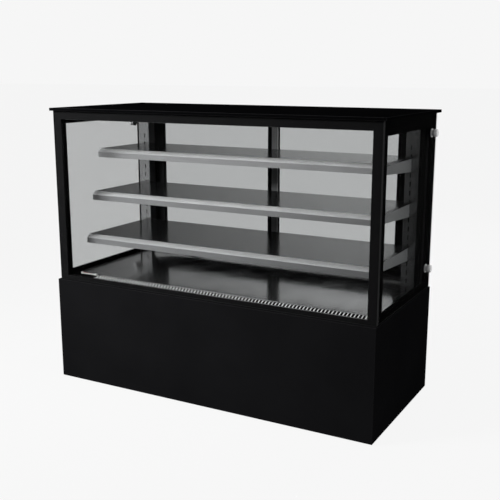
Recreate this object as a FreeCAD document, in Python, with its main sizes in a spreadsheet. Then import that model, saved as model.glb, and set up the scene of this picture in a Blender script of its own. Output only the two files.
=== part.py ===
"""Refrigerated bakery display case, 1500 mm wide, as an assembly of separate pieces.

Frame: millimetres, +X to the customer's right, +Y from the customer towards the staff side,
+Z up, origin on the floor under the middle of the overall box.
"""
import FreeCAD, Part
import math
import os
import re
import Sketcher

Vector = FreeCAD.Vector
Rotation = FreeCAD.Rotation

doc = FreeCAD.newDocument("DisplayCase")
sheet = doc.addObject("Spreadsheet::Sheet", "Sizes")

# ---------------------------------------------------------------- driving dimensions
SIZES = {
    "overall": {
        "case_width": 1500,         # top plate, left to right
        "case_depth": 671,          # front of the base to the rear of the top plate
        "case_height": 1200,
    },
    "base": {
        "plate_overhang": 10,       # top plate beyond the base at each side
        "plate_overhang_rear": 11,
        "base_width": "=case_width - 2 * plate_overhang",
        "base_depth": "=case_depth - plate_overhang_rear",
        "base_height": 455,
        "overcut": 1,               # how far a cut runs past the face that it opens
        "skirt_gap": 5,             # cladding above the floor
        "sheet": 1.5,               # folded steel sheet
        "front_flange": 40,
        "side_flange": 30,
        "skirt_flange": 20,
        "fit": 0.3,                 # assembly clearance between pieces
        "foot_height": 30,
        "foot_disc": 46,
        "foot_disc_thick": 8,
        "foot_stem": 10,
        "foot_inset_side": 80,
        "foot_inset_end": 60,
        "tray_edge": 25,
        "post_width": 40,
        "post_wall": 2,
        "post_inset_side": 38,
        "post_inset_end": 24,
        "tank_height": 123.5,
        "tank_wall": 40,
        "tank_floor": 30,
        "drain_bore": 16,
        "drain_wall": 2,
        "drain_drop": 190,
    },
    "display": {
        "deck_rise": 15,            # deck above the base top
        "deck_sheet": 1.5,
        "deck_side_gap": 10,        # deck edge to the inner side glass
        "grille_depth": 61,
        "slot_pitch": 14.8,
        "slot_width": 7.4,
        "slot_length": 48,
        "slot_front": 6,            # solid rim in front of the slots
        "slot_first": 143,          # left end of the grille to the first slot
        "slot_last": 26,            # last slot to the right end of the grille
        "duct_depth": 36,
        "duct_height": 30,
        "duct_slot_width": 30,
        "duct_slot_pitch": 40,
        "duct_margin": 20,
        "duct_slot_edge": 4,
    },
    "glass": {
        "glass_inset": 4,           # side glass inside the base's side
        "glass_setback": 16,        # front glass behind the base front
        "glass_rear_step": 4,       # upper part behind the base's rear
        "upper_width": "=base_width - 2 * glass_inset",
        "upper_depth": "=base_depth + glass_rear_step - glass_setback",
        "seat_gap": 2,              # height of the glass seat strips
        "seat_inset": 3,
        "seat_short": 7,            # side strips end short of the glass
        "pane": 4,
        "pane_space": 10,
        "front_border_side": 37,
        "front_border_top": 35,
        "front_border_bottom": 15,
        "side_border_front": 44,
        "side_border_rear": 56,
        "side_border_top": 56,
        "side_border_bottom": 30,
        "stud_boss": 36,
        "stud_boss_long": 13,
        "stud_cap": 32,
        "stud_cap_long": 14,
        "stud_low": 550,
        "stud_high": 1110,
        "stud_from_rear": 74,
    },
    "top": {
        "top_plate": 12,
        "top_setback": 7,           # front edge behind the base front
        "canopy_thick": 30,
        "led_depth": 20,
        "led_drop": 7,
        "led_wall": 1,
        "led_inset": 6,
        "led_end": 30,
    },
    "shelving": {
        "upright_width": 78,
        "upright_depth": 49,
        "upright_wall": 2,
        "upright_round": 24,
        "hook_slot_width": 5,
        "hook_slot_height": 20,
        "hook_slot_pitch": 37.2,
        "hook_slot_from_side": 55,  # slot row to the inner side glass
        "hook_slot_first": 11,
        "hook_slot_count": 16,
        "lower_shelf_slot_count": 3,    # free slots under the lowest shelf's hooks
        "shelf_step_slot_count": 5,     # slots from one shelf to the next
        "hook_drop": 40.4,          # middle of a hook below its shelf's top
        "shelf_lower_depth": 450,
        "shelf_middle_depth": 400,
        "shelf_top_depth": 350,
        "shelf_sheet": 1.5,
        "shelf_nose_depth": 20,
        "shelf_nose_drop": 15,
        "shelf_lip": 38,
        "shelf_return": 12,
        "shelf_edge": 11,
        "bracket_thick": 3,
        "bracket_rear": 54,
        "bracket_front": 28,
        "bracket_taper": 281,
        "bracket_mid": 35,
        "bracket_nose_gap": 2,
        "hook_height": 12,
        "hook_thick": 5,
        "hook_tooth": 6,
    },
    "rear": {
        "door_zone": 49,            # depth of the sliding door band
        "sill_height": 63,
        "door_stile": 42,
        "door_top_rail": 30,
        "door_bottom_rail": 26,
        "door_thick": 16,
        "door_overlap": 66,
        "door_side_gap": 2,
        "door_lift": 4,
        "door_play": 1,             # between a door and a fin of its track
        "door_pane": 6,
        "door_pane_grip": 8,
        "door_rebate": 0.5,
        "track_plate": 4,
        "track_rib": 3,
        "track_rib_high": 8,
        "track_fin": 3,
        "track_fin_high": 11,
        "rib_clearance": 1,
        "pull_width": 22,
        "pull_height": 130,
        "pull_deep": 9,
        "pull_edge": 6,
        "pull_above_sill": 250,
    },
    "service": {
        "louvre_count": 12,
        "louvre_pitch": 18,
        "louvre_width": 130,
        "louvre_height": 5,
        "louvre_hood": 6,
        "louvre_low": 62,
        "louvre_bank_pitch": 150,
        "louvre_from_middle": 70,
        "louvre_bank_count": 3,
        "louvre_banks_left": "=-louvre_bank_pitch - louvre_from_middle",
        "control_width": 200,
        "control_height": 84,
        "control_from_side": 130,
        "control_left": "=control_from_side - base_width / 2",
        "control_bottom": 196,
        "control_plate": 2,
        "control_border": 10,
        "box_depth": 80,
        "box_wall": 1.5,
        "box_margin": 8,
        "dial_width": 78,
        "dial_height": 36,
        "dial_bezel": 5,
        "dial_body_width": 71,
        "dial_body_height": 29,
        "dial_body_deep": 58,
        "dial_from_border": 6,
        "screen_left": 5,
        "screen_right": 20,
        "screen_border": 6,
        "screen_deep": 1,
        "key_from_edge": 5,
        "key_width": 9,
        "key_height": 6,
        "key_proud": 1.2,
        "key_deep": 3,
        "key_pitch": 9,
        "key_gap": 0.3,
        "key_recess": 1,            # pocket behind a key, for its travel
        "rocker_width": 12,
        "rocker_height": 20,
        "rocker_deep": 7,
        "rocker_bezel": 3,
        "rocker_bezel_high": 2,
        "rocker_gap": 0.6,
        "rocker_tilt_angle": 9,
        "rocker_waist": 2,
        "rocker_rake": 1.6,
        "power_rocker_from_left": 52,
        "light_rocker_from_left": 78,
        "gland_flange": 26,
        "gland_collar": 18,
        "gland_bore": 8,
        "gland_flange_high": 4,
        "gland_collar_high": 4.5,
        "gland_wall": 2,
        "gland_tail": 12,           # sleeve behind the plate
        "gland_from_left": 24,
    },
    "cooling": {
        "coil_width": 330,
        "coil_height": 250,
        "coil_depth": 50,
        "coil_fin_pitch": 11,
        "coil_fin_gap": 7,
        "coil_left": -235,
        "coil_rear_gap": 30,
        "coil_border": 8,
        "shroud_depth": 36,
        "fan_radius": 98,
        "fan_tip_gap": 5,
        "fan_hub": 20,
        "fan_hub_long": 22,
        "fan_blades": 5,
        "fan_chord": 50,
        "fan_pitch_angle": 32,
        "fan_blade_thick": 2,
        "fan_collar": 14,
        "fan_forward": 2,           # middle of the wheel in front of the shroud
        "motor_radius": 40,
        "motor_long": 52,
        "motor_shaft": 4,
        "motor_gap": 8,
        "shaft_running": 0.05,
        "motor_post": 32,
        "motor_post_inset": 8,
        "motor_foot": 80,
        "motor_foot_thick": 3,
        "compressor_radius": 78,
        "compressor_high": 165,
        "compressor_x": 330,
        "compressor_y": -40,
        "compressor_bottom": 56,
        "compressor_shoulder": 18,
        "compressor_seam": 4,
        "compressor_seam_high": 6,
        "compressor_dome": 34,
        "compressor_crown": 9,
        "compressor_crown_radius": 61,
        "compressor_flat_radius": 31,
        "compressor_plate": 190,
        "compressor_plate_thick": 4,
        "compressor_grommet": 12,
        "grommet_radius": 9,
        "grommet_inset": 14,
        "terminal_width": 52,
        "terminal_low": 50,
        "terminal_high": 110,
        "terminal_sink": 12,
        "terminal_deep": 40,
        "pipe_radius": 4.5,
        "pipe_bend": 18,
        "pipe_run": 60,             # straight piece of pipe at the compressor
        "pipe_level": 102.3,        # pipes at the can, above its floor
        "liquid_level": 45,
        "drier_radius": 11,
        "drier_long": 90,
        "drier_neck": 5.5,
        "drier_taper": 12,
        "drier_from_coil": 70,
        "drier_forward": 40,
        "drier_level": 150,
        "drip_width": 300,
        "drip_depth": 220,
        "drip_height": 45,
        "drip_wall": 2,
        "drip_from_side": 120,
        "drip_left": "=drip_from_side - base_width / 2",
        "cooler_width": 900,
        "cooler_depth": 150,
        "cooler_height": 74,
        "cooler_rear_gap": 80,
        "cooler_fin_pitch": 20,
        "cooler_fin_gap": 14,
        "cooler_lift": 4,
        "cooler_spine": 10,         # solid back that joins the fins
        "baffle_front": 40,
        "baffle_sheet": 1.5,
        "cooler_fan_radius": 42,
        "cooler_fan_tip_gap": 3,
        "cooler_fan_lift": 6,
        "cooler_fan_hub": 14,
        "cooler_fan_hub_long": 18,
        "cooler_fan_chord": 28,
        "cooler_fan_spread": 230,
        "cooler_motor": 26,
        "cooler_motor_long": 36,
        "cooler_motor_gap": 12,
        "cooler_shaft_reach": 8,
        "cooler_arm_high": 10,
        "cooler_arm_thick": 3,
        "cooler_arm_behind": 4,     # arm behind the motor's nose
        "cooler_arm_reach": 12,     # arm past the fan opening
        "cooler_foot": 6,
        "cooler_foot_high": 17,
    },
    "sensing": {
        "gauge_radius": 5,
        "gauge_long": 70,
        "gauge_cap_radius": 5.5,
        "gauge_cap_long": 8,
        "gauge_from_left": 40,
        "gauge_behind_glass": 39,
    },
}

SAME_PLACE = 1e-3                   # two points nearer than this are one

aliases = {}
for group, entries in SIZES.items():
    for name, value in entries.items():
        row = len(aliases) + 1
        sheet.set(f"A{row}", group)
        sheet.set(f"B{row}", name)
        sheet.set(f"C{row}", str(value))
        sheet.setAlias(f"C{row}", name)
        aliases[name] = row
doc.recompute()


def bind(text):
    """Write an expression out in full: each alias becomes a reference to its cell."""
    return re.sub(
        r"[a-z_]+[a-z]",
        lambda found: f"Sizes.{found.group()}" if found.group() in aliases else found.group(),
        text,
    )


def value(text):
    """Number that an expression stands for."""
    return float(sheet.evalExpression(bind(text)))


# ------------------------------------------------------- levels shared by several pieces
FRONT = "(-case_depth / 2)"
BASE_REAR = f"({FRONT} + base_depth)"
GLASS_FRONT = f"({FRONT} + glass_setback)"
UPPER_REAR = f"({GLASS_FRONT} + upper_depth)"
UNIT = "(2 * pane + pane_space)"
INNER_FRONT = f"({GLASS_FRONT} + {UNIT})"
INNER_SIDE = f"(upper_width / 2 - {UNIT})"
SEAT = "(base_height + seat_gap)"
TOP_UNDER = "(case_height - top_plate)"
CANOPY_UNDER = f"({TOP_UNDER} - canopy_thick)"
DECK = "(base_height + deck_rise)"
RIM = "(base_height - sheet)"
DOOR_FRONT = f"({UPPER_REAR} - door_zone)"
SILL_TOP = "(base_height + seat_gap + sill_height)"
UPRIGHT_FRONT = f"({DOOR_FRONT} - upright_depth)"
UPRIGHT_INNER = f"({INNER_SIDE} - fit - upright_width)"
DOOR_SIDE = UPRIGHT_INNER
FLOOR_TOP = "(foot_height + sheet)"
TANK_UNDER = f"({RIM} - tank_height)"
WELL_FLOOR = f"({TANK_UNDER} + tank_floor)"
PANEL_REAR = f"({BASE_REAR} - sheet)"
COOLER_FAN_Z = f"({WELL_FLOOR} + cooler_fan_radius + cooler_fan_lift)"
DOOR_LANE_INNER = f"({DOOR_FRONT} + track_fin + door_play + door_thick / 2)"
DOOR_LANE_OUTER = f"({UPPER_REAR} - track_fin - 2 * door_play - door_thick / 2)"
HOOK_X = f"({INNER_SIDE} - hook_slot_from_side)"
DUCT_SLOTS = f"floor((2 * {UPRIGHT_INNER} - 2 * duct_margin) / duct_slot_pitch)"

pieces = []


class Piece:
    """One body of the assembly, grown by sketches on its own origin planes."""

    # which way a pad or a pocket has to turn so that it runs along +X, +Y or +Z
    PLANES = {"XY": ("XY_Plane", 1), "XZ": ("XZ_Plane", -1), "YZ": ("YZ_Plane", 1)}

    def __init__(self, label):
        self.body = doc.addObject("PartDesign::Body", label)
        self.body.Label = label
        self.body.AllowCompound = True
        self.label = label
        self.step = 0
        pieces.append(self.body)

    def origin(self, role):
        return next(item for item in self.body.Origin.OriginFeatures if item.Role == role)

    def named(self, kind):
        self.step += 1
        return f"{self.label}_{kind}{self.step}"

    def sketch(self, plane, outlines, start="0"):
        role, turn = self.PLANES[plane]
        sketch = self.body.newObject("Sketcher::SketchObject", self.named("sketch"))
        sketch.AttachmentSupport = [(self.origin(role), "")]
        sketch.MapMode = "FlatFace"
        sketch.setExpression(".AttachmentOffset.Base.z", bind(f"{turn} * ({start})"))
        for outline in outlines:
            outline(sketch)
        return sketch

    def pad(self, plane, outlines, start, length):
        """Solid from start to start + length along the plane's positive axis."""
        sketch = self.sketch(plane, outlines, start)
        pad = self.body.newObject("PartDesign::Pad", self.named("pad"))
        pad.Profile = sketch
        pad.Reversed = self.PLANES[plane][1] < 0
        pad.setExpression("Length", bind(length))
        return pad

    def pocket(self, plane, outlines, start, length):
        """Cut from start to start + length along the plane's positive axis."""
        sketch = self.sketch(plane, outlines, start)
        pocket = self.body.newObject("PartDesign::Pocket", self.named("pocket"))
        pocket.Profile = sketch
        pocket.Reversed = self.PLANES[plane][1] > 0
        pocket.setExpression("Length", bind(length))
        return pocket

    def row(self, features, axis, pitch, count):
        """Repeat features in a straight row."""
        pattern = self.body.newObject("PartDesign::LinearPattern", self.named("row"))
        pattern.Originals = features
        pattern.Direction = (self.origin(f"{axis}_Axis"), [""])
        pattern.Mode = "Spacing"
        pattern.setExpression("Offset", bind(pitch))
        pattern.setExpression("Occurrences", bind(count))
        self.body.Tip = pattern
        return pattern

    def grid(self, features, axes, pitches, counts):
        """Repeat features in rows and columns."""
        pattern = self.row(features, axes[0], pitches[0], counts[0])
        pattern.Direction2 = (self.origin(f"{axes[1]}_Axis"), [""])
        pattern.Mode2 = "Spacing"
        pattern.setExpression("Offset2", bind(pitches[1]))
        pattern.setExpression("Occurrences2", bind(counts[1]))
        return pattern

    def ring(self, features, count):
        """Repeat features round the Z axis."""
        pattern = self.body.newObject("PartDesign::PolarPattern", self.named("ring"))
        pattern.Originals = features
        pattern.Axis = (self.origin("Z_Axis"), [""])
        pattern.Angle = 360
        pattern.setExpression("Occurrences", bind(count))
        self.body.Tip = pattern
        return pattern

    def spin(self, outline):
        """Turned solid round the Z axis from an outline in X (radius) and Z."""
        sketch = self.sketch("XZ", [outline])
        turned = self.body.newObject("PartDesign::Revolution", self.named("turned"))
        turned.Profile = sketch
        turned.ReferenceAxis = (sketch, ["V_Axis"])
        turned.Angle = 360
        return turned

    def loft(self, plane, near, far, near_at, far_at):
        """Solid that runs from one outline to another."""
        first = self.sketch(plane, [near], near_at)
        second = self.sketch(plane, [far], far_at)
        loft = self.body.newObject("PartDesign::AdditiveLoft", self.named("loft"))
        loft.Profile = first
        loft.Sections = [second]
        loft.Ruled = True
        return loft

    def round_edges(self, chosen, radius):
        """Round the edges that chosen(edge) picks on the body as it stands."""
        doc.recompute()
        base = self.body.Tip
        edges = [f"Edge{i}" for i, edge in enumerate(base.Shape.Edges, 1) if chosen(edge)]
        fillet = self.body.newObject("PartDesign::Fillet", self.named("round"))
        fillet.Base = (base, edges)
        fillet.setExpression("Radius", bind(radius))
        return fillet

    def place(self, x="0", y="0", z="0", rotation=None):
        """Stand the body in the case."""
        if rotation is not None:
            self.body.Placement = FreeCAD.Placement(Vector(), rotation)
        for axis, text in zip("xyz", (x, y, z)):
            self.body.setExpression(f"Placement.Base.{axis}", bind(text))
        return self


def fix(sketch, item, point, u, v):
    """Hold a point of a sketch at (u, v) from its origin."""
    for kind, text in (("DistanceX", u), ("DistanceY", v)):
        number = float(sketch.evalExpression(bind(text)))
        index = sketch.addConstraint(Sketcher.Constraint(kind, -1, 1, item, point, number))
        sketch.setExpression(f"Constraints[{index}]", bind(text))


def polygon(*corners):
    """Closed outline through corners given as pairs of expressions."""
    def draw(sketch):
        first = sketch.GeometryCount
        count = len(corners)
        spots = [Vector(*(float(sketch.evalExpression(bind(text))) for text in corner), 0)
                 for corner in corners]
        for i, spot in enumerate(spots):
            sketch.addGeometry(Part.LineSegment(spot, spots[(i + 1) % count]), False)
        for i in range(count):
            follower = first + (i + 1) % count
            sketch.addConstraint(Sketcher.Constraint("Coincident", first + i, 2, follower, 1))
        for i, (u, v) in enumerate(corners):
            fix(sketch, first + i, 1, u, v)
    return draw


def rectangle(u0, v0, u1, v1):
    """Closed rectangle between two opposite corners."""
    def draw(sketch):
        first = sketch.GeometryCount
        low_u, low_v, high_u, high_v = (
            float(sketch.evalExpression(bind(text))) for text in (u0, v0, u1, v1))
        spots = [Vector(low_u, low_v, 0), Vector(high_u, low_v, 0),
                 Vector(high_u, high_v, 0), Vector(low_u, high_v, 0)]
        for i, spot in enumerate(spots):
            sketch.addGeometry(Part.LineSegment(spot, spots[(i + 1) % 4]), False)
        for i in range(4):
            follower = first + (i + 1) % 4
            sketch.addConstraint(Sketcher.Constraint("Coincident", first + i, 2, follower, 1))
            level = "Horizontal" if i % 2 == 0 else "Vertical"
            sketch.addConstraint(Sketcher.Constraint(level, first + i))
        fix(sketch, first, 1, u0, v0)
        fix(sketch, first + 2, 1, u1, v1)
    return draw


def circle(u, v, radius):
    """Circle held by its centre and radius."""
    def draw(sketch):
        item = sketch.GeometryCount
        centre = Vector(*(float(sketch.evalExpression(bind(text))) for text in (u, v)), 0)
        size = float(sketch.evalExpression(bind(radius)))
        sketch.addGeometry(Part.Circle(centre, Vector(0, 0, 1), size), False)
        fix(sketch, item, 3, u, v)
        index = sketch.addConstraint(Sketcher.Constraint("Radius", item, size))
        sketch.setExpression(f"Constraints[{index}]", bind(radius))
    return draw


def hexagon(u, v, across):
    """Hexagon with two level flats, sized across them."""
    corners = []
    for i in range(6):
        angle = 60 * i
        reach = f"{across} / 2 / cos(30 deg)"
        corners.append((f"{u} + {reach} * cos({angle} deg)", f"{v} + {reach} * sin({angle} deg)"))
    return polygon(*corners)


def box(label, low, high):
    """Plain rectangular piece between two corners."""
    piece = Piece(label)
    piece.pad("XY", [rectangle(low[0], low[1], high[0], high[1])], low[2],
              f"({high[2]}) - ({low[2]})")
    return piece


def span(side, inner, outer):
    """Start and length along X of something between two distances from the middle."""
    start = inner if side > 0 else f"-({outer})"
    return start, f"({outer}) - ({inner})"


def vertical(edge):
    """True for a straight edge that runs along Z."""
    ends = [vertex.Point for vertex in edge.Vertexes]
    if len(ends) < 2:
        return False
    along = ends[1] - ends[0]
    return along.Length > SAME_PLACE and math.hypot(along.x, along.y) < SAME_PLACE


def edge_at(x, y):
    """Picks the vertical edge at a place in plan."""
    def chosen(edge):
        spot = edge.CenterOfMass
        return vertical(edge) and math.hypot(spot.x - value(x), spot.y - value(y)) < SAME_PLACE
    return chosen


# ---------------------------------------------------------------------------- the base
def levelling_feet():
    """Four discs on threaded stems, under the corners of the floor tray."""
    feet = Piece("levelling_feet")
    places = [(f"{sx} * (base_width / 2 - foot_inset_side)", y)
              for sx in (-1, 1)
              for y in (f"{FRONT} + foot_inset_end", f"{BASE_REAR} - foot_inset_end")]
    feet.pad("XY", [circle(x, y, "foot_disc / 2") for x, y in places], "0", "foot_disc_thick")
    feet.pad("XY", [circle(x, y, "foot_stem / 2") for x, y in places], "foot_disc_thick",
             "foot_height - foot_disc_thick")


def base_floor():
    """Folded floor tray that carries the condensing unit."""
    low_y = f"{FRONT} + sheet + fit"
    high_y = f"{PANEL_REAR} - fit"
    half = "(base_width / 2 - sheet - fit)"
    tray = box("base_floor", (f"-{half}", low_y, "foot_height"),
               (half, high_y, f"{FLOOR_TOP} + tray_edge"))
    tray.pocket("XY", [rectangle(f"-{half} + sheet", f"{low_y} + sheet",
                                 f"{half} - sheet", f"{high_y} - sheet")],
                FLOOR_TOP, "tray_edge + sheet")


def corner_posts():
    """Four square tubes that carry the tank on the floor tray."""
    posts = Piece("corner_posts")
    outer = []
    inner = []
    for sx in (-1, 1):
        edge = "(base_width / 2 - post_inset_side)"
        for start in (f"{FRONT} + post_inset_end", f"{BASE_REAR} - post_inset_end - post_width"):
            near = f"{sx} * ({edge} - post_width)"
            far = f"{sx} * {edge}"
            outer.append(rectangle(near, start, far, f"{start} + post_width"))
            inner.append(rectangle(f"{near} + {sx} * post_wall", f"{start} + post_wall",
                                   f"{far} - {sx} * post_wall",
                                   f"{start} + post_width - post_wall"))
    height = f"{TANK_UNDER} - {FLOOR_TOP}"
    posts.pad("XY", outer, FLOOR_TOP, height)
    posts.pocket("XY", inner, FLOOR_TOP, height)


def folded_panel(label, plane, face, inward, flange, start, length):
    """Cladding sheet with a flange at its top and a shorter one at its skirt.

    face is the outer face's place across the plane, and inward is the side the flanges take.
    """
    panel = Piece(label)
    skin = f"{face} + {inward} * sheet"
    top = f"{face} + {inward} * ({flange})"
    skirt = f"{face} + {inward} * skirt_flange"
    panel.pad(plane, [polygon(
        (face, "skirt_gap"), (skirt, "skirt_gap"), (skirt, "skirt_gap + sheet"),
        (skin, "skirt_gap + sheet"), (skin, RIM), (top, RIM), (top, "base_height"),
        (face, "base_height"))], start, length)
    return panel


def front_panel():
    """Front cladding: a full width skin, its flanges stop short of the side flanges."""
    panel = folded_panel("front_panel", "YZ", FRONT, 1, "front_flange",
                         "-base_width / 2", "base_width")
    for side in (-1, 1):
        start, length = span(side, "base_width / 2 - side_flange - fit", "base_width / 2 + overcut")
        panel.pocket("YZ", [rectangle(f"{FRONT} + sheet", "0", f"{FRONT} + front_flange + overcut",
                                      "base_height + overcut")], start, length)


def side_panel(label, side):
    """Side cladding, between the front skin and the rear skin."""
    folded_panel(label, "XZ", f"{side} * base_width / 2", -side, "side_flange",
                 f"{FRONT} + sheet", "base_depth - 2 * sheet")


def rear_panel():
    """Rear cladding with three banks of pressed louvres and the control cut-out."""
    panel = folded_panel("rear_panel", "YZ", BASE_REAR, -1, "side_flange",
                         "-base_width / 2", "base_width")
    for side in (-1, 1):
        start, length = span(side, "base_width / 2 - side_flange - fit", "base_width / 2 + overcut")
        panel.pocket("YZ", [rectangle(f"{PANEL_REAR} - side_flange", "0", PANEL_REAR,
                                      "base_height + overcut")], start, length)
    panel.pocket("XZ", [rectangle("control_left + control_border",
                                  "control_bottom + control_border",
                                  "control_left + control_width - control_border",
                                  "control_bottom + control_height - control_border")],
                 f"{PANEL_REAR} - overcut", "sheet + 2 * overcut")
    ceiling = "(louvre_low + louvre_height)"
    hood = panel.pad("YZ", [polygon(
        (f"{PANEL_REAR} + sheet / 2", f"{ceiling} + sheet"), (BASE_REAR, f"{ceiling} + sheet"),
        (f"{BASE_REAR} + louvre_hood", "louvre_low"), (f"{PANEL_REAR} + sheet / 2", "louvre_low"))],
        "louvre_banks_left", "louvre_width")
    lip = f"({BASE_REAR} + louvre_hood * louvre_height / (louvre_height + sheet))"
    slot = panel.pocket("YZ", [polygon(
        (f"{PANEL_REAR} - overcut", "louvre_low"), (f"{PANEL_REAR} - overcut", ceiling),
        (BASE_REAR, ceiling), (lip, "louvre_low"), (lip, "louvre_low - overcut"),
        (BASE_REAR, "louvre_low - overcut"), (BASE_REAR, "louvre_low"))],
        "louvre_banks_left + sheet", "louvre_width - 2 * sheet")
    panel.grid([hood, slot], ("Z", "X"), ("louvre_pitch", "louvre_bank_pitch"),
               ("louvre_count", "louvre_bank_count"))


def insulated_tank():
    """Foamed well under the deck that holds the cooling coil and its fans."""
    half = "(base_width / 2 - sheet - fit)"
    low_y = f"({FRONT} + sheet + fit)"
    high_y = f"({PANEL_REAR} - fit)"
    tank = box("insulated_tank", (f"-{half}", low_y, TANK_UNDER), (half, high_y, RIM))
    tank.pocket("XY", [rectangle(f"-{half} + tank_wall", f"{low_y} + tank_wall",
                                 f"{half} - tank_wall", f"{high_y} - tank_wall")],
                WELL_FLOOR, "tank_height")
    tank.pocket("XY", [circle("drip_left + drip_width / 2", "0", "drain_bore / 2")],
                f"{TANK_UNDER} - overcut", "tank_floor + 2 * overcut")


def drain_pipe():
    """Condensate pipe from the well down to the drip tray."""
    pipe = Piece("drain_pipe")
    x = "drip_left + drip_width / 2"
    outer = "(drain_bore / 2 - fit)"
    bore = f"({outer} - drain_wall)"
    pipe.pad("XY", [circle(x, "0", outer), circle(x, "0", bore)],
             f"{WELL_FLOOR} - drain_drop", "drain_drop")


def drip_tray():
    """Open tray that catches the condensate."""
    right = "drip_left + drip_width"
    tray = box("drip_tray", ("drip_left", "-drip_depth / 2", FLOOR_TOP),
               (right, "drip_depth / 2", f"{FLOOR_TOP} + drip_height"))
    tray.pocket("XY", [rectangle("drip_left + drip_wall", "-drip_depth / 2 + drip_wall",
                                 f"{right} - drip_wall", "drip_depth / 2 - drip_wall")],
                f"{FLOOR_TOP} + drip_wall", "drip_height")


# --------------------------------------------------------------------- cooling in the well
def cooler_coil():
    """Finned evaporator block across the well, with a comb of fins."""
    rear = f"({PANEL_REAR} - fit - tank_wall - cooler_rear_gap)"
    front = f"({rear} - cooler_depth)"
    low = f"({WELL_FLOOR} + cooler_lift)"
    coil = box("cooler_coil", ("-cooler_width / 2", front, WELL_FLOOR),
               ("cooler_width / 2", rear, f"{low} + cooler_height"))
    gap = coil.pocket("XZ", [rectangle("-cooler_width / 2 + cooler_fin_pitch - cooler_fin_gap",
                                       low, "-cooler_width / 2 + cooler_fin_pitch",
                                       f"{low} + cooler_height + overcut")],
                      f"{front} - overcut", "cooler_depth - cooler_spine + overcut")
    coil.row([gap], "X", "cooler_fin_pitch", "floor(cooler_width / cooler_fin_pitch) - 1")


def cooler_baffle():
    """Upright plate across the well with two fan openings."""
    half = "(base_width / 2 - sheet - 2 * fit - tank_wall)"
    top = f"({DECK} - deck_sheet)"
    at = "-baffle_front"
    baffle = Piece("cooler_baffle")
    holes = [circle(f"{sx} * cooler_fan_spread", COOLER_FAN_Z,
                    "cooler_fan_radius + cooler_fan_tip_gap") for sx in (-1, 1)]
    baffle.pad("XZ", [rectangle(f"-{half}", WELL_FLOOR, half, top), *holes], at, "baffle_sheet")


def rotor(label, tip, hub, hub_long, chord):
    """Fan wheel round Z: a hub with a shaft bore and twisted blades."""
    wheel = Piece(label)
    wheel.pad("XY", [circle("0", "0", hub)], f"-{hub_long} / 2", hub_long)

    def blade(radius, angle, reach):
        along = f"({reach} / 2)"
        thick = "(fan_blade_thick / 2)"
        return polygon(*[
            (f"{a} * {along} * cos({angle}) - {b} * {thick} * sin({angle})",
             f"{a} * {along} * sin({angle}) + {b} * {thick} * cos({angle})")
            for a, b in ((-1, -1), (1, -1), (1, 1), (-1, 1))])

    loft = wheel.loft("YZ", blade(hub, "fan_pitch_angle * 1 deg", f"{hub}"),
                      blade(tip, "fan_pitch_angle * 0.6 deg", chord), f"{hub} * 0.8", tip)
    wheel.ring([loft], "fan_blades")
    wheel.pocket("XY", [circle("0", "0", "motor_shaft + shaft_running")],
                 f"-{hub_long} / 2 - overcut", f"{hub_long} + 2 * overcut")
    return wheel


def cooler_fan(label, side):
    """Small fan wheel in a baffle opening, its axis along Y."""
    wheel = rotor(label, "cooler_fan_radius", "cooler_fan_hub", "cooler_fan_hub_long",
                  "cooler_fan_chord")
    wheel.place(f"{side} * cooler_fan_spread", "-baffle_front + baffle_sheet / 2",
                COOLER_FAN_Z, Rotation(Vector(1, 0, 0), -90))


def cooler_fan_motors():
    """Two small motors behind the baffle, each on two arms, with its shaft in the wheel."""
    motors = Piece("cooler_fan_motors")
    behind = "(-baffle_front + baffle_sheet)"
    nose = f"({behind} + cooler_motor_gap)"
    for radius, start, length in (
            ("cooler_motor", nose, "cooler_motor_long"),
            ("motor_shaft", f"{behind} - cooler_shaft_reach",
             "cooler_shaft_reach + cooler_motor_gap")):
        motors.pad("XZ", [circle(f"{sx} * cooler_fan_spread", COOLER_FAN_Z, radius)
                          for sx in (-1, 1)], start, length)
    low = f"({COOLER_FAN_Z} - cooler_arm_high / 2)"
    high = f"({COOLER_FAN_Z} + cooler_arm_high / 2)"
    reach = "(cooler_fan_radius + cooler_arm_reach)"
    arms = []
    feet = []
    for sx in (-1, 1):
        x = f"{sx} * cooler_fan_spread"
        arms.append(rectangle(f"{x} - {reach}", low, f"{x} + {reach}", high))
        feet.append(rectangle(f"{x} - {reach}", low, f"{x} - {reach} + cooler_foot", high))
        feet.append(rectangle(f"{x} + {reach} - cooler_foot", low, f"{x} + {reach}", high))
    motors.pad("XZ", arms, f"{nose} + cooler_arm_behind", "cooler_arm_thick")
    motors.pad("XZ", feet, behind, "cooler_foot_high")


# ---------------------------------------------------------------------- condensing unit
COIL_FRONT = f"({PANEL_REAR} - coil_rear_gap - coil_depth)"
SHROUD_FRONT = f"({COIL_FRONT} - shroud_depth)"
FAN_X = "(coil_left + coil_width / 2)"
FAN_Z = f"({FLOOR_TOP} + coil_height / 2)"


def condenser_coil():
    """Finned block behind the louvres."""
    coil = box("condenser_coil", ("coil_left", COIL_FRONT, FLOOR_TOP),
               ("coil_left + coil_width", f"{COIL_FRONT} + coil_depth",
                f"{FLOOR_TOP} + coil_height"))
    gap = coil.pocket("XZ", [rectangle("coil_left + coil_fin_pitch - coil_fin_gap",
                                       f"{FLOOR_TOP} + coil_border",
                                       "coil_left + coil_fin_pitch",
                                       f"{FLOOR_TOP} + coil_height - coil_border")],
                      f"{COIL_FRONT} + coil_border", "coil_depth")
    coil.row([gap], "X", "coil_fin_pitch", "floor(coil_width / coil_fin_pitch) - 1")


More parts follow.
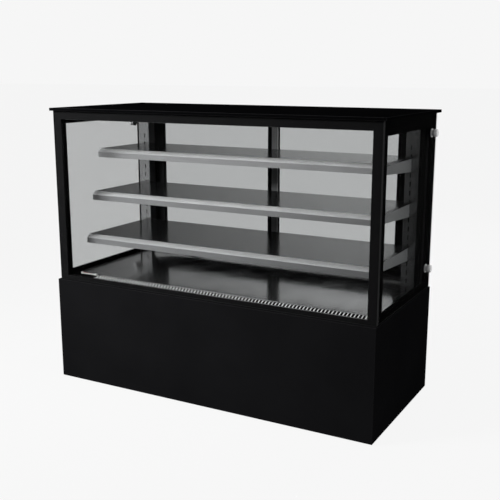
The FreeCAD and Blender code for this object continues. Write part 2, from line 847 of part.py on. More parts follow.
def condenser_shroud():
    """Sheet hood between the coil and the fan, with a collar round the fan."""
    hood = box("condenser_shroud", ("coil_left", SHROUD_FRONT, FLOOR_TOP),
               ("coil_left + coil_width", COIL_FRONT, f"{FLOOR_TOP} + coil_height"))
    hood.pocket("XZ", [rectangle("coil_left + sheet", f"{FLOOR_TOP} + sheet",
                                 "coil_left + coil_width - sheet",
                                 f"{FLOOR_TOP} + coil_height - sheet")],
                f"{SHROUD_FRONT} + sheet", "shroud_depth")
    opening = "fan_radius + fan_tip_gap"
    hood.pad("XZ", [circle(FAN_X, FAN_Z, f"{opening} + sheet")],
             f"{SHROUD_FRONT} - fan_collar", "fan_collar + sheet")
    hood.pocket("XZ", [circle(FAN_X, FAN_Z, opening)], f"{SHROUD_FRONT} - fan_collar - overcut",
                "fan_collar + sheet + 2 * overcut")


def condenser_fan():
    """Fan wheel in the shroud's collar, its axis along Y."""
    wheel = rotor("condenser_fan", "fan_radius", "fan_hub", "fan_hub_long", "fan_chord")
    wheel.place(FAN_X, f"{SHROUD_FRONT} - fan_forward", FAN_Z, Rotation(Vector(1, 0, 0), -90))


def condenser_fan_motor():
    """Motor in front of the fan, on a foot that stands on the floor tray."""
    motor = Piece("condenser_fan_motor")
    nose = f"({SHROUD_FRONT} - fan_forward - fan_hub_long / 2 - motor_gap)"
    motor.pad("XZ", [circle(FAN_X, FAN_Z, "motor_radius")], f"{nose} - motor_long", "motor_long")
    motor.pad("XZ", [circle(FAN_X, FAN_Z, "motor_shaft")], nose, "fan_hub_long")
    motor.pad("XY", [rectangle(f"{FAN_X} - motor_post / 2",
                               f"{nose} - motor_long + motor_post_inset",
                               f"{FAN_X} + motor_post / 2", f"{nose} - motor_post_inset")],
              FLOOR_TOP, f"{FAN_Z} - {FLOOR_TOP} - motor_radius / 2")
    motor.pad("XY", [rectangle(f"{FAN_X} - motor_foot / 2", f"{nose} - motor_long",
                               f"{FAN_X} + motor_foot / 2", nose)],
              FLOOR_TOP, "motor_foot_thick")


def compressor():
    """Hermetic compressor: domed can on a foot plate with rubber grommets."""
    can = Piece("compressor")
    half = "compressor_plate / 2"
    low = "compressor_grommet"
    body_low = f"({low} + compressor_plate_thick)"
    seam = f"({body_low} + compressor_high / 2)"
    top = f"({body_low} + compressor_high)"
    can.spin(polygon(
        ("0", body_low), ("compressor_bottom", body_low),
        ("compressor_radius", f"{body_low} + compressor_shoulder"),
        ("compressor_radius", f"{seam} - compressor_seam_high / 2"),
        ("compressor_radius + compressor_seam", f"{seam} - compressor_seam_high / 2"),
        ("compressor_radius + compressor_seam", f"{seam} + compressor_seam_high / 2"),
        ("compressor_radius", f"{seam} + compressor_seam_high / 2"),
        ("compressor_radius", f"{top} - compressor_dome"),
        ("compressor_crown_radius", f"{top} - compressor_crown"),
        ("compressor_flat_radius", top), ("0", top)))
    can.pad("XY", [rectangle(f"-{half}", f"-{half}", half, half)], low, "compressor_plate_thick")
    can.pad("XY", [circle(f"{sx} * ({half} - grommet_inset)", f"{sy} * ({half} - grommet_inset)",
                          "grommet_radius")
                   for sx in (-1, 1) for sy in (-1, 1)], "0", low)
    can.pad("YZ", [rectangle("-terminal_width / 2", f"{body_low} + terminal_low",
                             "terminal_width / 2", f"{body_low} + terminal_high")],
            "compressor_radius - terminal_sink", "terminal_deep")
    can.place("compressor_x", "compressor_y", FLOOR_TOP)


DRIER = ("coil_left + coil_width + drier_from_coil", f"{COIL_FRONT} - drier_forward",
         f"{FLOOR_TOP} + drier_level")


def tube(label, runs, radius, bend):
    """Bent pipes: straight runs joined by tangent arcs, each swept with a round section."""
    solids = []
    for points in runs:
        edges = []
        start = points[0]
        for before, corner, after in zip(points, points[1:], points[2:]):
            inward = (before - corner).normalize()
            onward = (after - corner).normalize()
            turn = math.pi - inward.getAngle(onward)
            reach = bend * math.tan(turn / 2)
            first = corner + inward * reach
            last = corner + onward * reach
            middle = (inward + onward).normalize()
            centre = corner + middle * (bend / math.cos(turn / 2))
            edges.append(Part.LineSegment(start, first).toShape())
            edges.append(Part.Arc(first, centre - middle * bend, last).toShape())
            start = last
        edges.append(Part.LineSegment(start, points[-1]).toShape())
        path = Part.Wire(edges)
        section = Part.Wire(Part.makeCircle(radius, points[0], points[1] - points[0]))
        solids.append(path.makePipeShell([section], True, False))
    feature = doc.addObject("Part::Feature", label)
    feature.Label = label
    feature.Shape = solids[0] if len(solids) == 1 else Part.makeCompound(solids)
    pieces.append(feature)
    return feature


def refrigerant_pipes():
    """Discharge pipe to the coil, liquid pipe through the drier and suction pipe."""
    floor = value(FLOOR_TOP)
    comp = Vector(value("compressor_x"), value("compressor_y"), floor)
    side = value("compressor_radius + fit")
    under = value(TANK_UNDER)
    coil_right = value("coil_left + coil_width + fit")
    coil_y = value(f"{COIL_FRONT} + coil_depth / 2")
    drier = drier_place()
    lift = value("compressor_grommet + pipe_level")
    run = value("pipe_run")
    discharge = [
        comp + Vector(-side, 0, lift),
        comp + Vector(-side - run, 0, lift),
        Vector(comp.x - side - run, coil_y, floor + lift),
        Vector(coil_right, coil_y, floor + lift),
    ]
    low = value("liquid_level")
    drier_low = drier - Vector(0, 0, value("drier_long / 2 + fit"))
    drier_high = drier + Vector(0, 0, value("drier_long / 2 + fit"))
    liquid = [
        Vector(coil_right, coil_y, floor + low),
        Vector(drier.x, coil_y, floor + low),
        Vector(drier.x, drier.y, floor + low),
        drier_low,
    ]
    riser = [drier_high, Vector(drier.x, drier.y, under)]
    suction = [
        comp + Vector(0, -side, lift),
        comp + Vector(0, -side - run, lift),
        Vector(comp.x, comp.y - side - run, under),
    ]
    tube("refrigerant_pipes", [discharge, liquid, riser, suction],
         value("pipe_radius"), value("pipe_bend"))


def drier_place():
    """Middle of the filter drier."""
    return Vector(*(value(text) for text in DRIER))


def filter_drier():
    """Upright drier cartridge with tapered ends, in the liquid line."""
    drier = Piece("filter_drier")
    drier.spin(polygon(
        ("0", "-drier_long / 2"), ("drier_neck", "-drier_long / 2"),
        ("drier_radius", "-drier_long / 2 + drier_taper"),
        ("drier_radius", "drier_long / 2 - drier_taper"),
        ("drier_neck", "drier_long / 2"), ("0", "drier_long / 2")))
    drier.place(*DRIER)


# -------------------------------------------------------------------- electrics and controls
CONTROL_RIGHT = "(control_left + control_width)"
CONTROL_TOP = "(control_bottom + control_height)"
CONTROL_MIDDLE = "(control_bottom + control_height / 2)"
PLATE_FACE = f"({BASE_REAR} + control_plate)"
DIAL_X = f"({CONTROL_RIGHT} - control_border - dial_from_border - dial_width / 2)"
ROCKER_X = ("(control_left + power_rocker_from_left)", "(control_left + light_rocker_from_left)")
GLAND_X = "(control_left + gland_from_left)"


def electrical_box():
    """Sheet box behind the control plate, open to the rear."""
    wall = "box_wall"
    low = ("(control_left - box_margin)", f"({PANEL_REAR} - box_depth)",
           "(control_bottom - box_margin)")
    high = (f"({CONTROL_RIGHT} + box_margin)", PANEL_REAR, f"({CONTROL_TOP} + box_margin)")
    case = box("electrical_box", low, high)
    case.pocket("XZ", [rectangle(f"{low[0]} + {wall}", f"{low[2]} + {wall}",
                                 f"{high[0]} - {wall}", f"{high[2]} - {wall}")],
                f"{low[1]} + {wall}", "box_depth")


def control_plate():
    """Plate over the cut-out that carries the controller, the switches and the cord entry."""
    dial_half = "(dial_body_width / 2 + fit)"
    dial_rise = "(dial_body_height / 2 + fit)"
    holes = [rectangle(f"{DIAL_X} - {dial_half}", f"{CONTROL_MIDDLE} - {dial_rise}",
                       f"{DIAL_X} + {dial_half}", f"{CONTROL_MIDDLE} + {dial_rise}")]
    for x in ROCKER_X:
        reach = "(rocker_width / 2 + rocker_gap)"
        rise = "(rocker_height / 2 + rocker_gap)"
        holes.append(rectangle(f"{x} - {reach}", f"{CONTROL_MIDDLE} - {rise}",
                               f"{x} + {reach}", f"{CONTROL_MIDDLE} + {rise}"))
    holes.append(circle(GLAND_X, CONTROL_MIDDLE, "gland_bore / 2 + gland_wall + fit"))
    plate = Piece("control_plate")
    plate.pad("XZ", [rectangle("control_left", "control_bottom", CONTROL_RIGHT, CONTROL_TOP),
                     *holes], BASE_REAR, "control_plate")
    rims = []
    for x in ROCKER_X:
        for edge in ("(rocker_gap + rocker_bezel)", "rocker_gap"):
            rims.append(rectangle(f"{x} - rocker_width / 2 - {edge}",
                                  f"{CONTROL_MIDDLE} - rocker_height / 2 - {edge}",
                                  f"{x} + rocker_width / 2 + {edge}",
                                  f"{CONTROL_MIDDLE} + rocker_height / 2 + {edge}"))
    plate.pad("XZ", rims, PLATE_FACE, "rocker_bezel_high")


def key_places():
    """The controller's three keys: (name, x, z) of each middle."""
    right = f"({DIAL_X} + dial_width / 2 - key_from_edge - key_width / 2)"
    return [("key_set", right, f"{CONTROL_MIDDLE} + key_pitch"),
            ("key_up", right, CONTROL_MIDDLE),
            ("key_down", right, f"{CONTROL_MIDDLE} - key_pitch")]


def temperature_controller():
    """Controller body in the plate with its bezel outside and pockets for the keys."""
    dial = Piece("temperature_controller")
    body_half = "dial_body_width / 2"
    body_rise = "dial_body_height / 2"
    dial.pad("XZ", [rectangle(f"{DIAL_X} - {body_half}", f"{CONTROL_MIDDLE} - {body_rise}",
                              f"{DIAL_X} + {body_half}", f"{CONTROL_MIDDLE} + {body_rise}")],
             f"{PLATE_FACE} - dial_body_deep", "dial_body_deep")
    half = "dial_width / 2"
    rise = "dial_height / 2"
    dial.pad("XZ", [rectangle(f"{DIAL_X} - {half}", f"{CONTROL_MIDDLE} - {rise}",
                              f"{DIAL_X} + {half}", f"{CONTROL_MIDDLE} + {rise}")],
             PLATE_FACE, "dial_bezel")
    dial.pocket("XZ", [rectangle(f"{DIAL_X} - {half} + screen_left",
                                 f"{CONTROL_MIDDLE} - {rise} + screen_border",
                                 f"{DIAL_X} + {half} - screen_right",
                                 f"{CONTROL_MIDDLE} + {rise} - screen_border")],
                f"{PLATE_FACE} + dial_bezel - screen_deep", "screen_deep + overcut")
    reach = "(key_width / 2 + key_gap)"
    depth = "(key_height / 2 + key_gap)"
    dial.pocket("XZ", [rectangle(f"{x} - {reach}", f"{z} - {depth}",
                                 f"{x} + {reach}", f"{z} + {depth}")
                       for name, x, z in key_places()],
                f"{PLATE_FACE} + dial_bezel - key_deep - key_recess",
                "key_deep + key_recess + overcut")


def controller_key(name, x, z):
    """Push key that stands a little proud of the bezel."""
    key = Piece(f"controller_{name}")
    key.pad("XZ", [rectangle(f"{x} - key_width / 2", f"{z} - key_height / 2",
                             f"{x} + key_width / 2", f"{z} + key_height / 2")],
            f"{PLATE_FACE} + dial_bezel - key_deep + key_gap", "key_deep - key_gap + key_proud")


def rocker(label, x):
    """Rocker with two slightly raked halves, pivoted just inside the plate."""
    key = Piece(label)
    key.pad("YZ", [polygon(
        ("-rocker_deep", "-rocker_height / 2 + rocker_waist"),
        ("-rocker_deep", "rocker_height / 2 - rocker_waist"),
        ("rocker_rake", "rocker_height / 2"), ("0", "0"), ("rocker_rake", "-rocker_height / 2"))],
        "-rocker_width / 2", "rocker_width")
    key.place(x, f"{PLATE_FACE} + rocker_bezel_high", CONTROL_MIDDLE,
              Rotation(Vector(1, 0, 0), value("rocker_tilt_angle")))


def cable_gland():
    """Hexagonal gland with an open bore for the supply cord."""
    gland = Piece("cable_gland")
    gland.pad("XZ", [hexagon(GLAND_X, CONTROL_MIDDLE, "gland_flange")], PLATE_FACE,
              "gland_flange_high")
    gland.pad("XZ", [circle(GLAND_X, CONTROL_MIDDLE, "gland_collar / 2")],
              f"{PLATE_FACE} + gland_flange_high", "gland_collar_high")
    gland.pad("XZ", [circle(GLAND_X, CONTROL_MIDDLE, "gland_bore / 2 + gland_wall")],
              f"{PLATE_FACE} - control_plate - gland_tail", "control_plate + gland_tail")
    gland.pocket("XZ", [circle(GLAND_X, CONTROL_MIDDLE, "gland_bore / 2")],
                 f"{PLATE_FACE} - control_plate - gland_tail - overcut",
                 "control_plate + gland_tail + gland_flange_high + gland_collar_high"
                 " + 2 * overcut")


# ------------------------------------------------------------------- deck and air grilles
def deck_pan():
    """Display deck: a tray upside down over the well, with air slots along its rear."""
    half = f"({INNER_SIDE} - deck_side_gap)"
    front = f"({INNER_FRONT} + grille_depth + fit)"
    rear = DOOR_FRONT
    deck = box("deck_pan", (f"-{half}", front, RIM), (half, rear, DECK))
    deck.pocket("XY", [rectangle(f"-{half} + deck_sheet", f"{front} + deck_sheet",
                                 f"{half} - deck_sheet", f"{rear} - deck_sheet")],
                f"{RIM} - overcut", "deck_rise + sheet - deck_sheet + overcut")
    first = f"(-{UPRIGHT_INNER} + fit + duct_margin)"
    slot = deck.pocket("XY", [rectangle(
        first, f"{rear} - duct_depth + 3 * deck_sheet",
        f"{first} + duct_slot_width", f"{rear} - 3 * deck_sheet")],
        f"{DECK} - deck_sheet - overcut", "deck_sheet + 2 * overcut")
    deck.row([slot], "X", "duct_slot_pitch", DUCT_SLOTS)


def front_air_grille():
    """Folded strip behind the front glass with a row of air slots."""
    half = f"({INNER_SIDE} - deck_side_gap)"
    front = f"({INNER_FRONT} + fit)"
    rear = f"({INNER_FRONT} + grille_depth)"
    grille = box("front_air_grille", (f"-{half}", front, "base_height"), (half, rear, DECK))
    grille.pocket("XY", [rectangle(f"-{half} + deck_sheet", f"{front} + deck_sheet",
                                   f"{half} - deck_sheet", f"{rear} - deck_sheet")],
                  "base_height - overcut", "deck_rise - deck_sheet + overcut")
    slot = grille.pocket("XY", [rectangle(
        f"-{half} + slot_first", f"{INNER_FRONT} + slot_front",
        f"-{half} + slot_first + slot_width", f"{INNER_FRONT} + slot_front + slot_length")],
        f"{DECK} - deck_sheet - overcut", "deck_sheet + 2 * overcut")
    grille.row([slot], "X", "slot_pitch",
               f"floor((2 * {half} - slot_first - slot_last) / slot_pitch) + 1")


def rear_air_duct():
    """Raised duct along the rear of the deck, with an inlet row in its top."""
    half = f"({UPRIGHT_INNER} - fit)"
    front = f"({DOOR_FRONT} - duct_depth)"
    shoulder = f"({front} + duct_depth / 3)"
    top = f"({DECK} + duct_height)"
    duct = Piece("rear_air_duct")
    duct.pad("YZ", [polygon(
        (front, DECK), (front, f"{DECK} + duct_height / 2"), (shoulder, top),
        (DOOR_FRONT, top), (DOOR_FRONT, DECK), (f"{DOOR_FRONT} - deck_sheet", DECK),
        (f"{DOOR_FRONT} - deck_sheet", f"{top} - deck_sheet"),
        (f"{shoulder} + deck_sheet / 2", f"{top} - deck_sheet"),
        (f"{front} + deck_sheet", f"{DECK} + duct_height / 2 - deck_sheet / 3"),
        (f"{front} + deck_sheet", DECK))], f"-{half}", f"2 * {half}")
    slot = duct.pocket("XY", [rectangle(
        f"-{half} + duct_margin", f"{shoulder} + duct_slot_edge",
        f"-{half} + duct_margin + duct_slot_width", f"{DOOR_FRONT} - duct_slot_edge")],
        f"{top} - deck_sheet - overcut", "deck_sheet + 2 * overcut")
    duct.row([slot], "X", "duct_slot_pitch", DUCT_SLOTS)


def strip_thermometer():
    """Glass tube thermometer with two end sockets, lying on the left end of the grille."""
    gauge = Piece("strip_thermometer")
    left = f"(-{INNER_SIDE} + deck_side_gap + gauge_from_left)"
    y = f"{INNER_FRONT} + gauge_behind_glass"
    middle = f"{DECK} + gauge_cap_radius"
    gauge.pad("YZ", [circle(y, middle, "gauge_radius")], f"{left} + gauge_cap_long",
              "gauge_long")
    for start in (left, f"{left} + gauge_cap_long + gauge_long"):
        gauge.pad("YZ", [circle(y, middle, "gauge_cap_radius")], start, "gauge_cap_long")


# --------------------------------------------------------------------------- glass units
def glass_unit_front():
    """Front double glazing: two panes and the black edge frame between them."""
    half = "upper_width / 2"
    face = rectangle(f"-{half}", SEAT, half, TOP_UNDER)
    panes = Piece("front_glass_panes")
    panes.pad("XZ", [face], GLASS_FRONT, "pane")
    panes.pad("XZ", [face], f"{GLASS_FRONT} + pane + pane_space", "pane")
    frame = Piece("front_glass_edge_frame")
    frame.pad("XZ", [
        face,
        rectangle(f"-{half} + front_border_side", f"{SEAT} + front_border_bottom",
                  f"{half} - front_border_side", f"{TOP_UNDER} - front_border_top")],
        f"{GLASS_FRONT} + pane", "pane_space")


def glass_units_side():
    """Left and right double glazing, behind the front unit."""
    front = f"({INNER_FRONT} + fit)"
    face = rectangle(front, SEAT, UPPER_REAR, TOP_UNDER)
    clear = rectangle(f"{front} + side_border_front", f"{SEAT} + side_border_bottom",
                      f"{UPPER_REAR} - side_border_rear", f"{TOP_UNDER} - side_border_top")
    panes = Piece("side_glass_panes")
    frames = Piece("side_glass_edge_frames")
    for side in (-1, 1):
        for inner, outer in (("(upper_width / 2 - pane)", "(upper_width / 2)"),
                             (INNER_SIDE, f"({INNER_SIDE} + pane)")):
            start, length = span(side, inner, outer)
            panes.pad("YZ", [face], start, length)
        start, length = span(side, f"({INNER_SIDE} + pane)", "(upper_width / 2 - pane)")
        frames.pad("YZ", [face, clear], start, length)


def glass_seat_strips():
    """Rubber strips that the glass units stand on."""
    strips = Piece("glass_seat_strips")
    edge = "(upper_width / 2 - seat_inset)"
    inner = f"({INNER_SIDE} + seat_inset)"
    side_front = f"{INNER_FRONT} + seat_inset"
    strips.pad("XY", [
        rectangle(f"-{edge}", f"{GLASS_FRONT} + seat_inset", edge, f"{INNER_FRONT} - seat_inset"),
        rectangle(f"-{edge}", side_front, f"-{inner}", f"{UPPER_REAR} - seat_short"),
        rectangle(inner, side_front, edge, f"{UPPER_REAR} - seat_short")],
        "base_height", "seat_gap")


def glass_studs():
    """Round bosses and bright caps that clamp the side glass to the uprights."""
    for label, size, start, length in (
            ("glass_stud_bosses", "stud_boss", "upper_width / 2", "stud_boss_long"),
            ("glass_stud_caps", "stud_cap", "upper_width / 2 + stud_boss_long",
             "stud_cap_long")):
        group = Piece(label)
        y = f"{UPPER_REAR} - stud_from_rear"
        for side in (-1, 1):
            first, reach = span(side, start, f"{start} + {length}")
            group.pad("YZ", [circle(y, z, f"{size} / 2") for z in ("stud_low", "stud_high")],
                      first, reach)


# ------------------------------------------------------------------------------- canopy
def canopy_panel():
    """Insulated ceiling between the glass units, with a recess for the light."""
    half = f"({INNER_SIDE} - fit)"
    box("canopy_panel", (f"-{half}", f"{INNER_FRONT} + fit", CANOPY_UNDER),
        (half, UPPER_REAR, TOP_UNDER))


def top_plate():
    """Black glass plate over the whole case."""
    box("top_plate", ("-case_width / 2", f"{FRONT} + top_setback", TOP_UNDER),
        ("case_width / 2", "case_depth / 2", "case_height"))


def canopy_light():
    """Slim channel behind the top border with a diffuser along its underside."""
    half = f"({INNER_SIDE} - led_end)"
    front = f"({INNER_FRONT} + led_inset)"
    rear = f"({front} + led_depth)"
    channel = box("light_channel", (f"-{half}", front, f"{CANOPY_UNDER} - led_drop"),
                  (half, rear, CANOPY_UNDER))
    channel.pocket("XY", [rectangle(f"-{half} + led_wall", f"{front} + led_wall",
                                    f"{half} - led_wall", f"{rear} - led_wall")],
                   f"{CANOPY_UNDER} - led_drop - overcut", "led_drop - led_wall + overcut")
    box("light_diffuser", (f"-{half} + led_wall", f"{front} + led_wall",
                           f"{CANOPY_UNDER} - led_drop"),
        (f"{half} - led_wall", f"{rear} - led_wall", f"{CANOPY_UNDER} - led_wall"))


# ----------------------------------------------------------------------------- shelving
def shelf_upright(label, side):
    """Hollow column with a rounded outer corner and a row of hook slots."""
    column = Piece(label)
    inner = f"{side} * {UPRIGHT_INNER}"
    outer = f"{side} * ({INNER_SIDE} - fit)"
    height = f"{CANOPY_UNDER} - {DECK}"
    column.pad("XY", [rectangle(inner, UPRIGHT_FRONT, outer, DOOR_FRONT)], DECK, height)
    column.round_edges(edge_at(outer, UPRIGHT_FRONT), "upright_round")
    column.pocket("XY", [rectangle(
        f"{inner} + {side} * upright_wall", f"{UPRIGHT_FRONT} + upright_wall",
        f"{outer} - {side} * upright_round", f"{DOOR_FRONT} - upright_wall")],
        f"{DECK} - overcut", f"{height} + 2 * overcut")
    x = f"{side} * {HOOK_X}"
    slot = column.pocket("XZ", [rectangle(
        f"{x} - hook_slot_width / 2", f"{DECK} + hook_slot_first",
        f"{x} + hook_slot_width / 2", f"{DECK} + hook_slot_first + hook_slot_height")],
        f"{UPRIGHT_FRONT} - overcut", "upright_wall + 2 * overcut")
    column.row([slot], "Z", "hook_slot_pitch", "hook_slot_count")


def shelf_level(level):
    """Height of a shelf's top: its hooks sit in the middle of a slot."""
    return (f"({DECK} + hook_slot_first + hook_slot_height / 2 + hook_drop"
            f" + (lower_shelf_slot_count + {level} * shelf_step_slot_count) * hook_slot_pitch)")


def shelf(label, level, depth):
    """Folded shelf with a raked nose, a deep front lip and short side edges."""
    top = shelf_level(level)
    rear = f"({UPRIGHT_FRONT} - fit)"
    front = f"({UPRIGHT_FRONT} - {depth})"
    half = f"({HOOK_X} + bracket_thick / 2)"
    thick = "shelf_sheet"
    piece = Piece(label)
    piece.pad("YZ", [polygon(
        (rear, top), (f"{front} + shelf_nose_depth", top),
        (front, f"{top} - shelf_nose_drop"), (front, f"{top} - shelf_lip"),
        (f"{front} + shelf_return", f"{top} - shelf_lip"),
        (f"{front} + shelf_return", f"{top} - shelf_lip + {thick}"),
        (f"{front} + {thick}", f"{top} - shelf_lip + {thick}"),
        (f"{front} + {thick}", f"{top} - shelf_nose_drop - {thick} / 2"),
        (f"{front} + shelf_nose_depth + {thick} / 3", f"{top} - {thick}"),
        (f"{rear} - {thick}", f"{top} - {thick}"), (f"{rear} - {thick}", f"{top} - shelf_edge"),
        (rear, f"{top} - shelf_edge"))], f"-{half}", f"2 * {half}")
    for side in (-1, 1):
        start, length = span(side, f"{half} - {thick}", half)
        piece.pad("YZ", [polygon(
            (rear, top), (f"{front} + shelf_nose_depth", top),
            (front, f"{top} - shelf_nose_drop"), (front, f"{top} - shelf_lip"),
            (f"{front} + shelf_return", f"{top} - shelf_lip"),
            (f"{front} + shelf_nose_depth", f"{top} - shelf_edge"),
            (rear, f"{top} - shelf_edge"))], start, length)


def shelf_brackets():
    """Six tapered cantilever plates hooked into the uprights, two under each shelf."""
    brackets = Piece("shelf_brackets")
    rear = f"({UPRIGHT_FRONT} - fit)"
    inside = f"({UPRIGHT_FRONT} + upright_wall + fit)"
    for side in (-1, 1):
        outlines = []
        for level, depth in enumerate(("shelf_lower_depth", "shelf_middle_depth",
                                       "shelf_top_depth")):
            top = f"({shelf_level(level)} - shelf_edge)"
            nose = f"({UPRIGHT_FRONT} - {depth} + shelf_nose_depth + bracket_nose_gap)"
            knee = f"({UPRIGHT_FRONT} - bracket_taper)"
            hook_low = f"({shelf_level(level)} - hook_drop - hook_height / 2)"
            outlines.append(polygon(
                (rear, top), (nose, top), (nose, f"{top} - bracket_front"),
                (knee, f"{top} - bracket_mid"), (rear, f"{top} - bracket_rear"),
                (rear, hook_low), (inside, hook_low), (inside, f"{hook_low} - hook_tooth"),
                (f"{inside} + hook_thick", f"{hook_low} - hook_tooth"),
                (f"{inside} + hook_thick", f"{hook_low} + hook_height"),
                (rear, f"{hook_low} + hook_height")))
        start, length = span(side, f"{HOOK_X} - bracket_thick / 2",
                             f"{HOOK_X} + bracket_thick / 2")
        brackets.pad("YZ", outlines, start, length)


# ------------------------------------------------------------------------ rear and doors
def rear_sill():
    """Insulated upstand under the doors."""
    half = f"({INNER_SIDE} - fit)"
    box("rear_sill", (f"-{half}", f"{DOOR_FRONT} + fit", "base_height"),
        (half, UPPER_REAR, SILL_TOP))


def rear_jambs():
    """Two posts at the ends of the door band, from the sill to the ceiling."""
    jambs = Piece("rear_jambs")
    jambs.pad("XY", [rectangle(f"{side} * {DOOR_SIDE}", f"{DOOR_FRONT} + fit",
                               f"{side} * ({INNER_SIDE} - fit)", UPPER_REAR)
                     for side in (-1, 1)], SILL_TOP, f"{CANOPY_UNDER} - {SILL_TOP}")


def door_tracks():
    """Bottom track with two ribs, and top track with three fins."""
    half = f"({DOOR_SIDE} - fit)"
    low = Piece("door_track_bottom")
    outline = [(f"{DOOR_FRONT} + fit", SILL_TOP), (UPPER_REAR, SILL_TOP)]
    outline.append((UPPER_REAR, f"{SILL_TOP} + track_plate"))
    for lane in (DOOR_LANE_OUTER, DOOR_LANE_INNER):
        outline += [(f"{lane} + track_rib / 2", f"{SILL_TOP} + track_plate"),
                    (f"{lane} + track_rib / 2", f"{SILL_TOP} + track_plate + track_rib_high"),
                    (f"{lane} - track_rib / 2", f"{SILL_TOP} + track_plate + track_rib_high"),
                    (f"{lane} - track_rib / 2", f"{SILL_TOP} + track_plate")]
    outline.append((f"{DOOR_FRONT} + fit", f"{SILL_TOP} + track_plate"))
    low.pad("YZ", [polygon(*outline)], f"-{half}", f"2 * {half}")
    high = Piece("door_track_top")
    under = f"({CANOPY_UNDER} - track_plate)"
    tip = f"({under} - track_fin_high)"
    middle = f"(({DOOR_LANE_INNER} + {DOOR_LANE_OUTER}) / 2)"
    fins = [(f"{DOOR_FRONT} + fit", f"{DOOR_FRONT} + fit + track_fin"),
            (f"{middle} - track_fin / 2", f"{middle} + track_fin / 2"),
            (f"{UPPER_REAR} - track_fin", UPPER_REAR)]
    outline = [(UPPER_REAR, CANOPY_UNDER), (f"{DOOR_FRONT} + fit", CANOPY_UNDER)]
    for near, far in fins:
        outline += [(near, tip), (far, tip), (far, under)]
        if far != UPPER_REAR:
            follower = fins[fins.index((near, far)) + 1][0]
            outline.append((follower, under))
    outline = outline[:-1]
    high.pad("YZ", [polygon(*outline)], f"-{half}", f"2 * {half}")


DOOR_LOW = f"({SILL_TOP} + track_plate + fit)"
DOOR_HIGH = f"({CANOPY_UNDER} - track_plate - door_lift)"


def door_edges(side):
    """Left and right edge of one door: the doors overlap in the middle."""
    outer = f"({DOOR_SIDE} - door_side_gap)"
    inner = "(door_overlap / 2)"
    return (f"-{outer}", inner) if side < 0 else (f"-{inner}", outer)


def sliding_door(name, side, lane):
    """Framed door: two stiles and two rails round a pane, and a flush pull."""
    left, right = door_edges(side)
    near = f"({lane} - door_thick / 2)"
    frame = Piece(f"{name}_frame")
    low = f"({DOOR_LOW} + door_bottom_rail)"
    high = f"({DOOR_HIGH} - door_top_rail)"
    inner_left = f"({left} + door_stile)"
    inner_right = f"({right} - door_stile)"
    frame.pad("XZ", [rectangle(left, DOOR_LOW, right, DOOR_HIGH),
                     rectangle(inner_left, low, inner_right, high)], near, "door_thick")
    groove = "(track_rib / 2 + rib_clearance)"
    frame.pocket("YZ", [rectangle(f"{lane} - {groove}", f"{DOOR_LOW} - overcut",
                                  f"{lane} + {groove}",
                                  f"{DOOR_LOW} + track_rib_high + rib_clearance")],
                 f"{left} - overcut", f"{right} - {left} + 2 * overcut")
    rebate = "(door_pane / 2 + door_rebate)"
    frame.pocket("XZ", [rectangle(f"{inner_left} - door_pane_grip - door_rebate",
                                  f"{low} - door_pane_grip - door_rebate",
                                  f"{inner_right} + door_pane_grip + door_rebate",
                                  f"{high} + door_pane_grip + door_rebate")],
                 f"{lane} - {rebate}", f"2 * {rebate}")
    grip = "door_pane_grip"
    box(f"{name}_pane", (f"{inner_left} - {grip}", f"{lane} - door_pane / 2", f"{low} - {grip}"),
        (f"{inner_right} + {grip}", f"{lane} + door_pane / 2", f"{high} + {grip}"))
    edge = f"({left} + pull_edge)" if side < 0 else f"({right} - pull_edge - pull_width)"
    pull_low = f"({SILL_TOP} + pull_above_sill)"
    frame.pocket("XZ", [rectangle(edge, pull_low, f"{edge} + pull_width",
                                  f"{pull_low} + pull_height")],
                 f"{lane} + door_thick / 2 - pull_deep", "pull_deep + overcut")


def everything():
    """Model every piece of the case."""
    levelling_feet()
    base_floor()
    corner_posts()
    front_panel()
    side_panel("side_panel_left", -1)
    side_panel("side_panel_right", 1)
    rear_panel()
    insulated_tank()
    drain_pipe()
    drip_tray()
    cooler_coil()
    cooler_baffle()
    cooler_fan("cooler_fan_left", -1)
    cooler_fan("cooler_fan_right", 1)
    cooler_fan_motors()
    condenser_coil()
    condenser_shroud()
    condenser_fan()
    condenser_fan_motor()
    compressor()
    filter_drier()
    refrigerant_pipes()
    electrical_box()
    control_plate()
    temperature_controller()
    for name, x, z in key_places():
        controller_key(name, x, z)
    rocker("power_switch", ROCKER_X[0])
    rocker("light_switch", ROCKER_X[1])
    cable_gland()
    deck_pan()
    front_air_grille()
    rear_air_duct()
    strip_thermometer()
    glass_unit_front()
    glass_units_side()
    glass_seat_strips()
    glass_studs()
    canopy_panel()
    top_plate()
    canopy_light()
    shelf_upright("shelf_upright_left", -1)
    shelf_upright("shelf_upright_right", 1)
    shelf("shelf_lower", 0, "shelf_lower_depth")
    shelf("shelf_middle", 1, "shelf_middle_depth")
    shelf("shelf_top", 2, "shelf_top_depth")
    shelf_brackets()
    rear_sill()
    rear_jambs()
    door_tracks()
    sliding_door("door_left", -1, DOOR_LANE_INNER)
    sliding_door("door_right", 1, DOOR_LANE_OUTER)


everything()
doc.recompute()

faults = []
for item in doc.Objects:
    if "Invalid" in item.State or "Error" in item.State:
        faults.append(f"{item.Label}: {item.State}")
for piece in pieces:
    if piece.Shape.isNull() or not piece.Shape.isValid() or not piece.Shape.Solids:
        faults.append(f"{piece.Label}: no valid solid")
if faults:
    raise RuntimeError("; ".join(faults))

os.makedirs("parts", exist_ok=True)
for piece in pieces:
    piece.Shape.exportStep(f"parts/{piece.Label}.step")
    bounds = piece.Shape.BoundBox
    print(f"{piece.Label}: {len(piece.Shape.Solids)} solids, "
          f"x {bounds.XMin:.1f}..{bounds.XMax:.1f}, y {bounds.YMin:.1f}..{bounds.YMax:.1f}, "
          f"z {bounds.ZMin:.1f}..{bounds.ZMax:.1f}")
print(f"{len(pieces)} pieces")
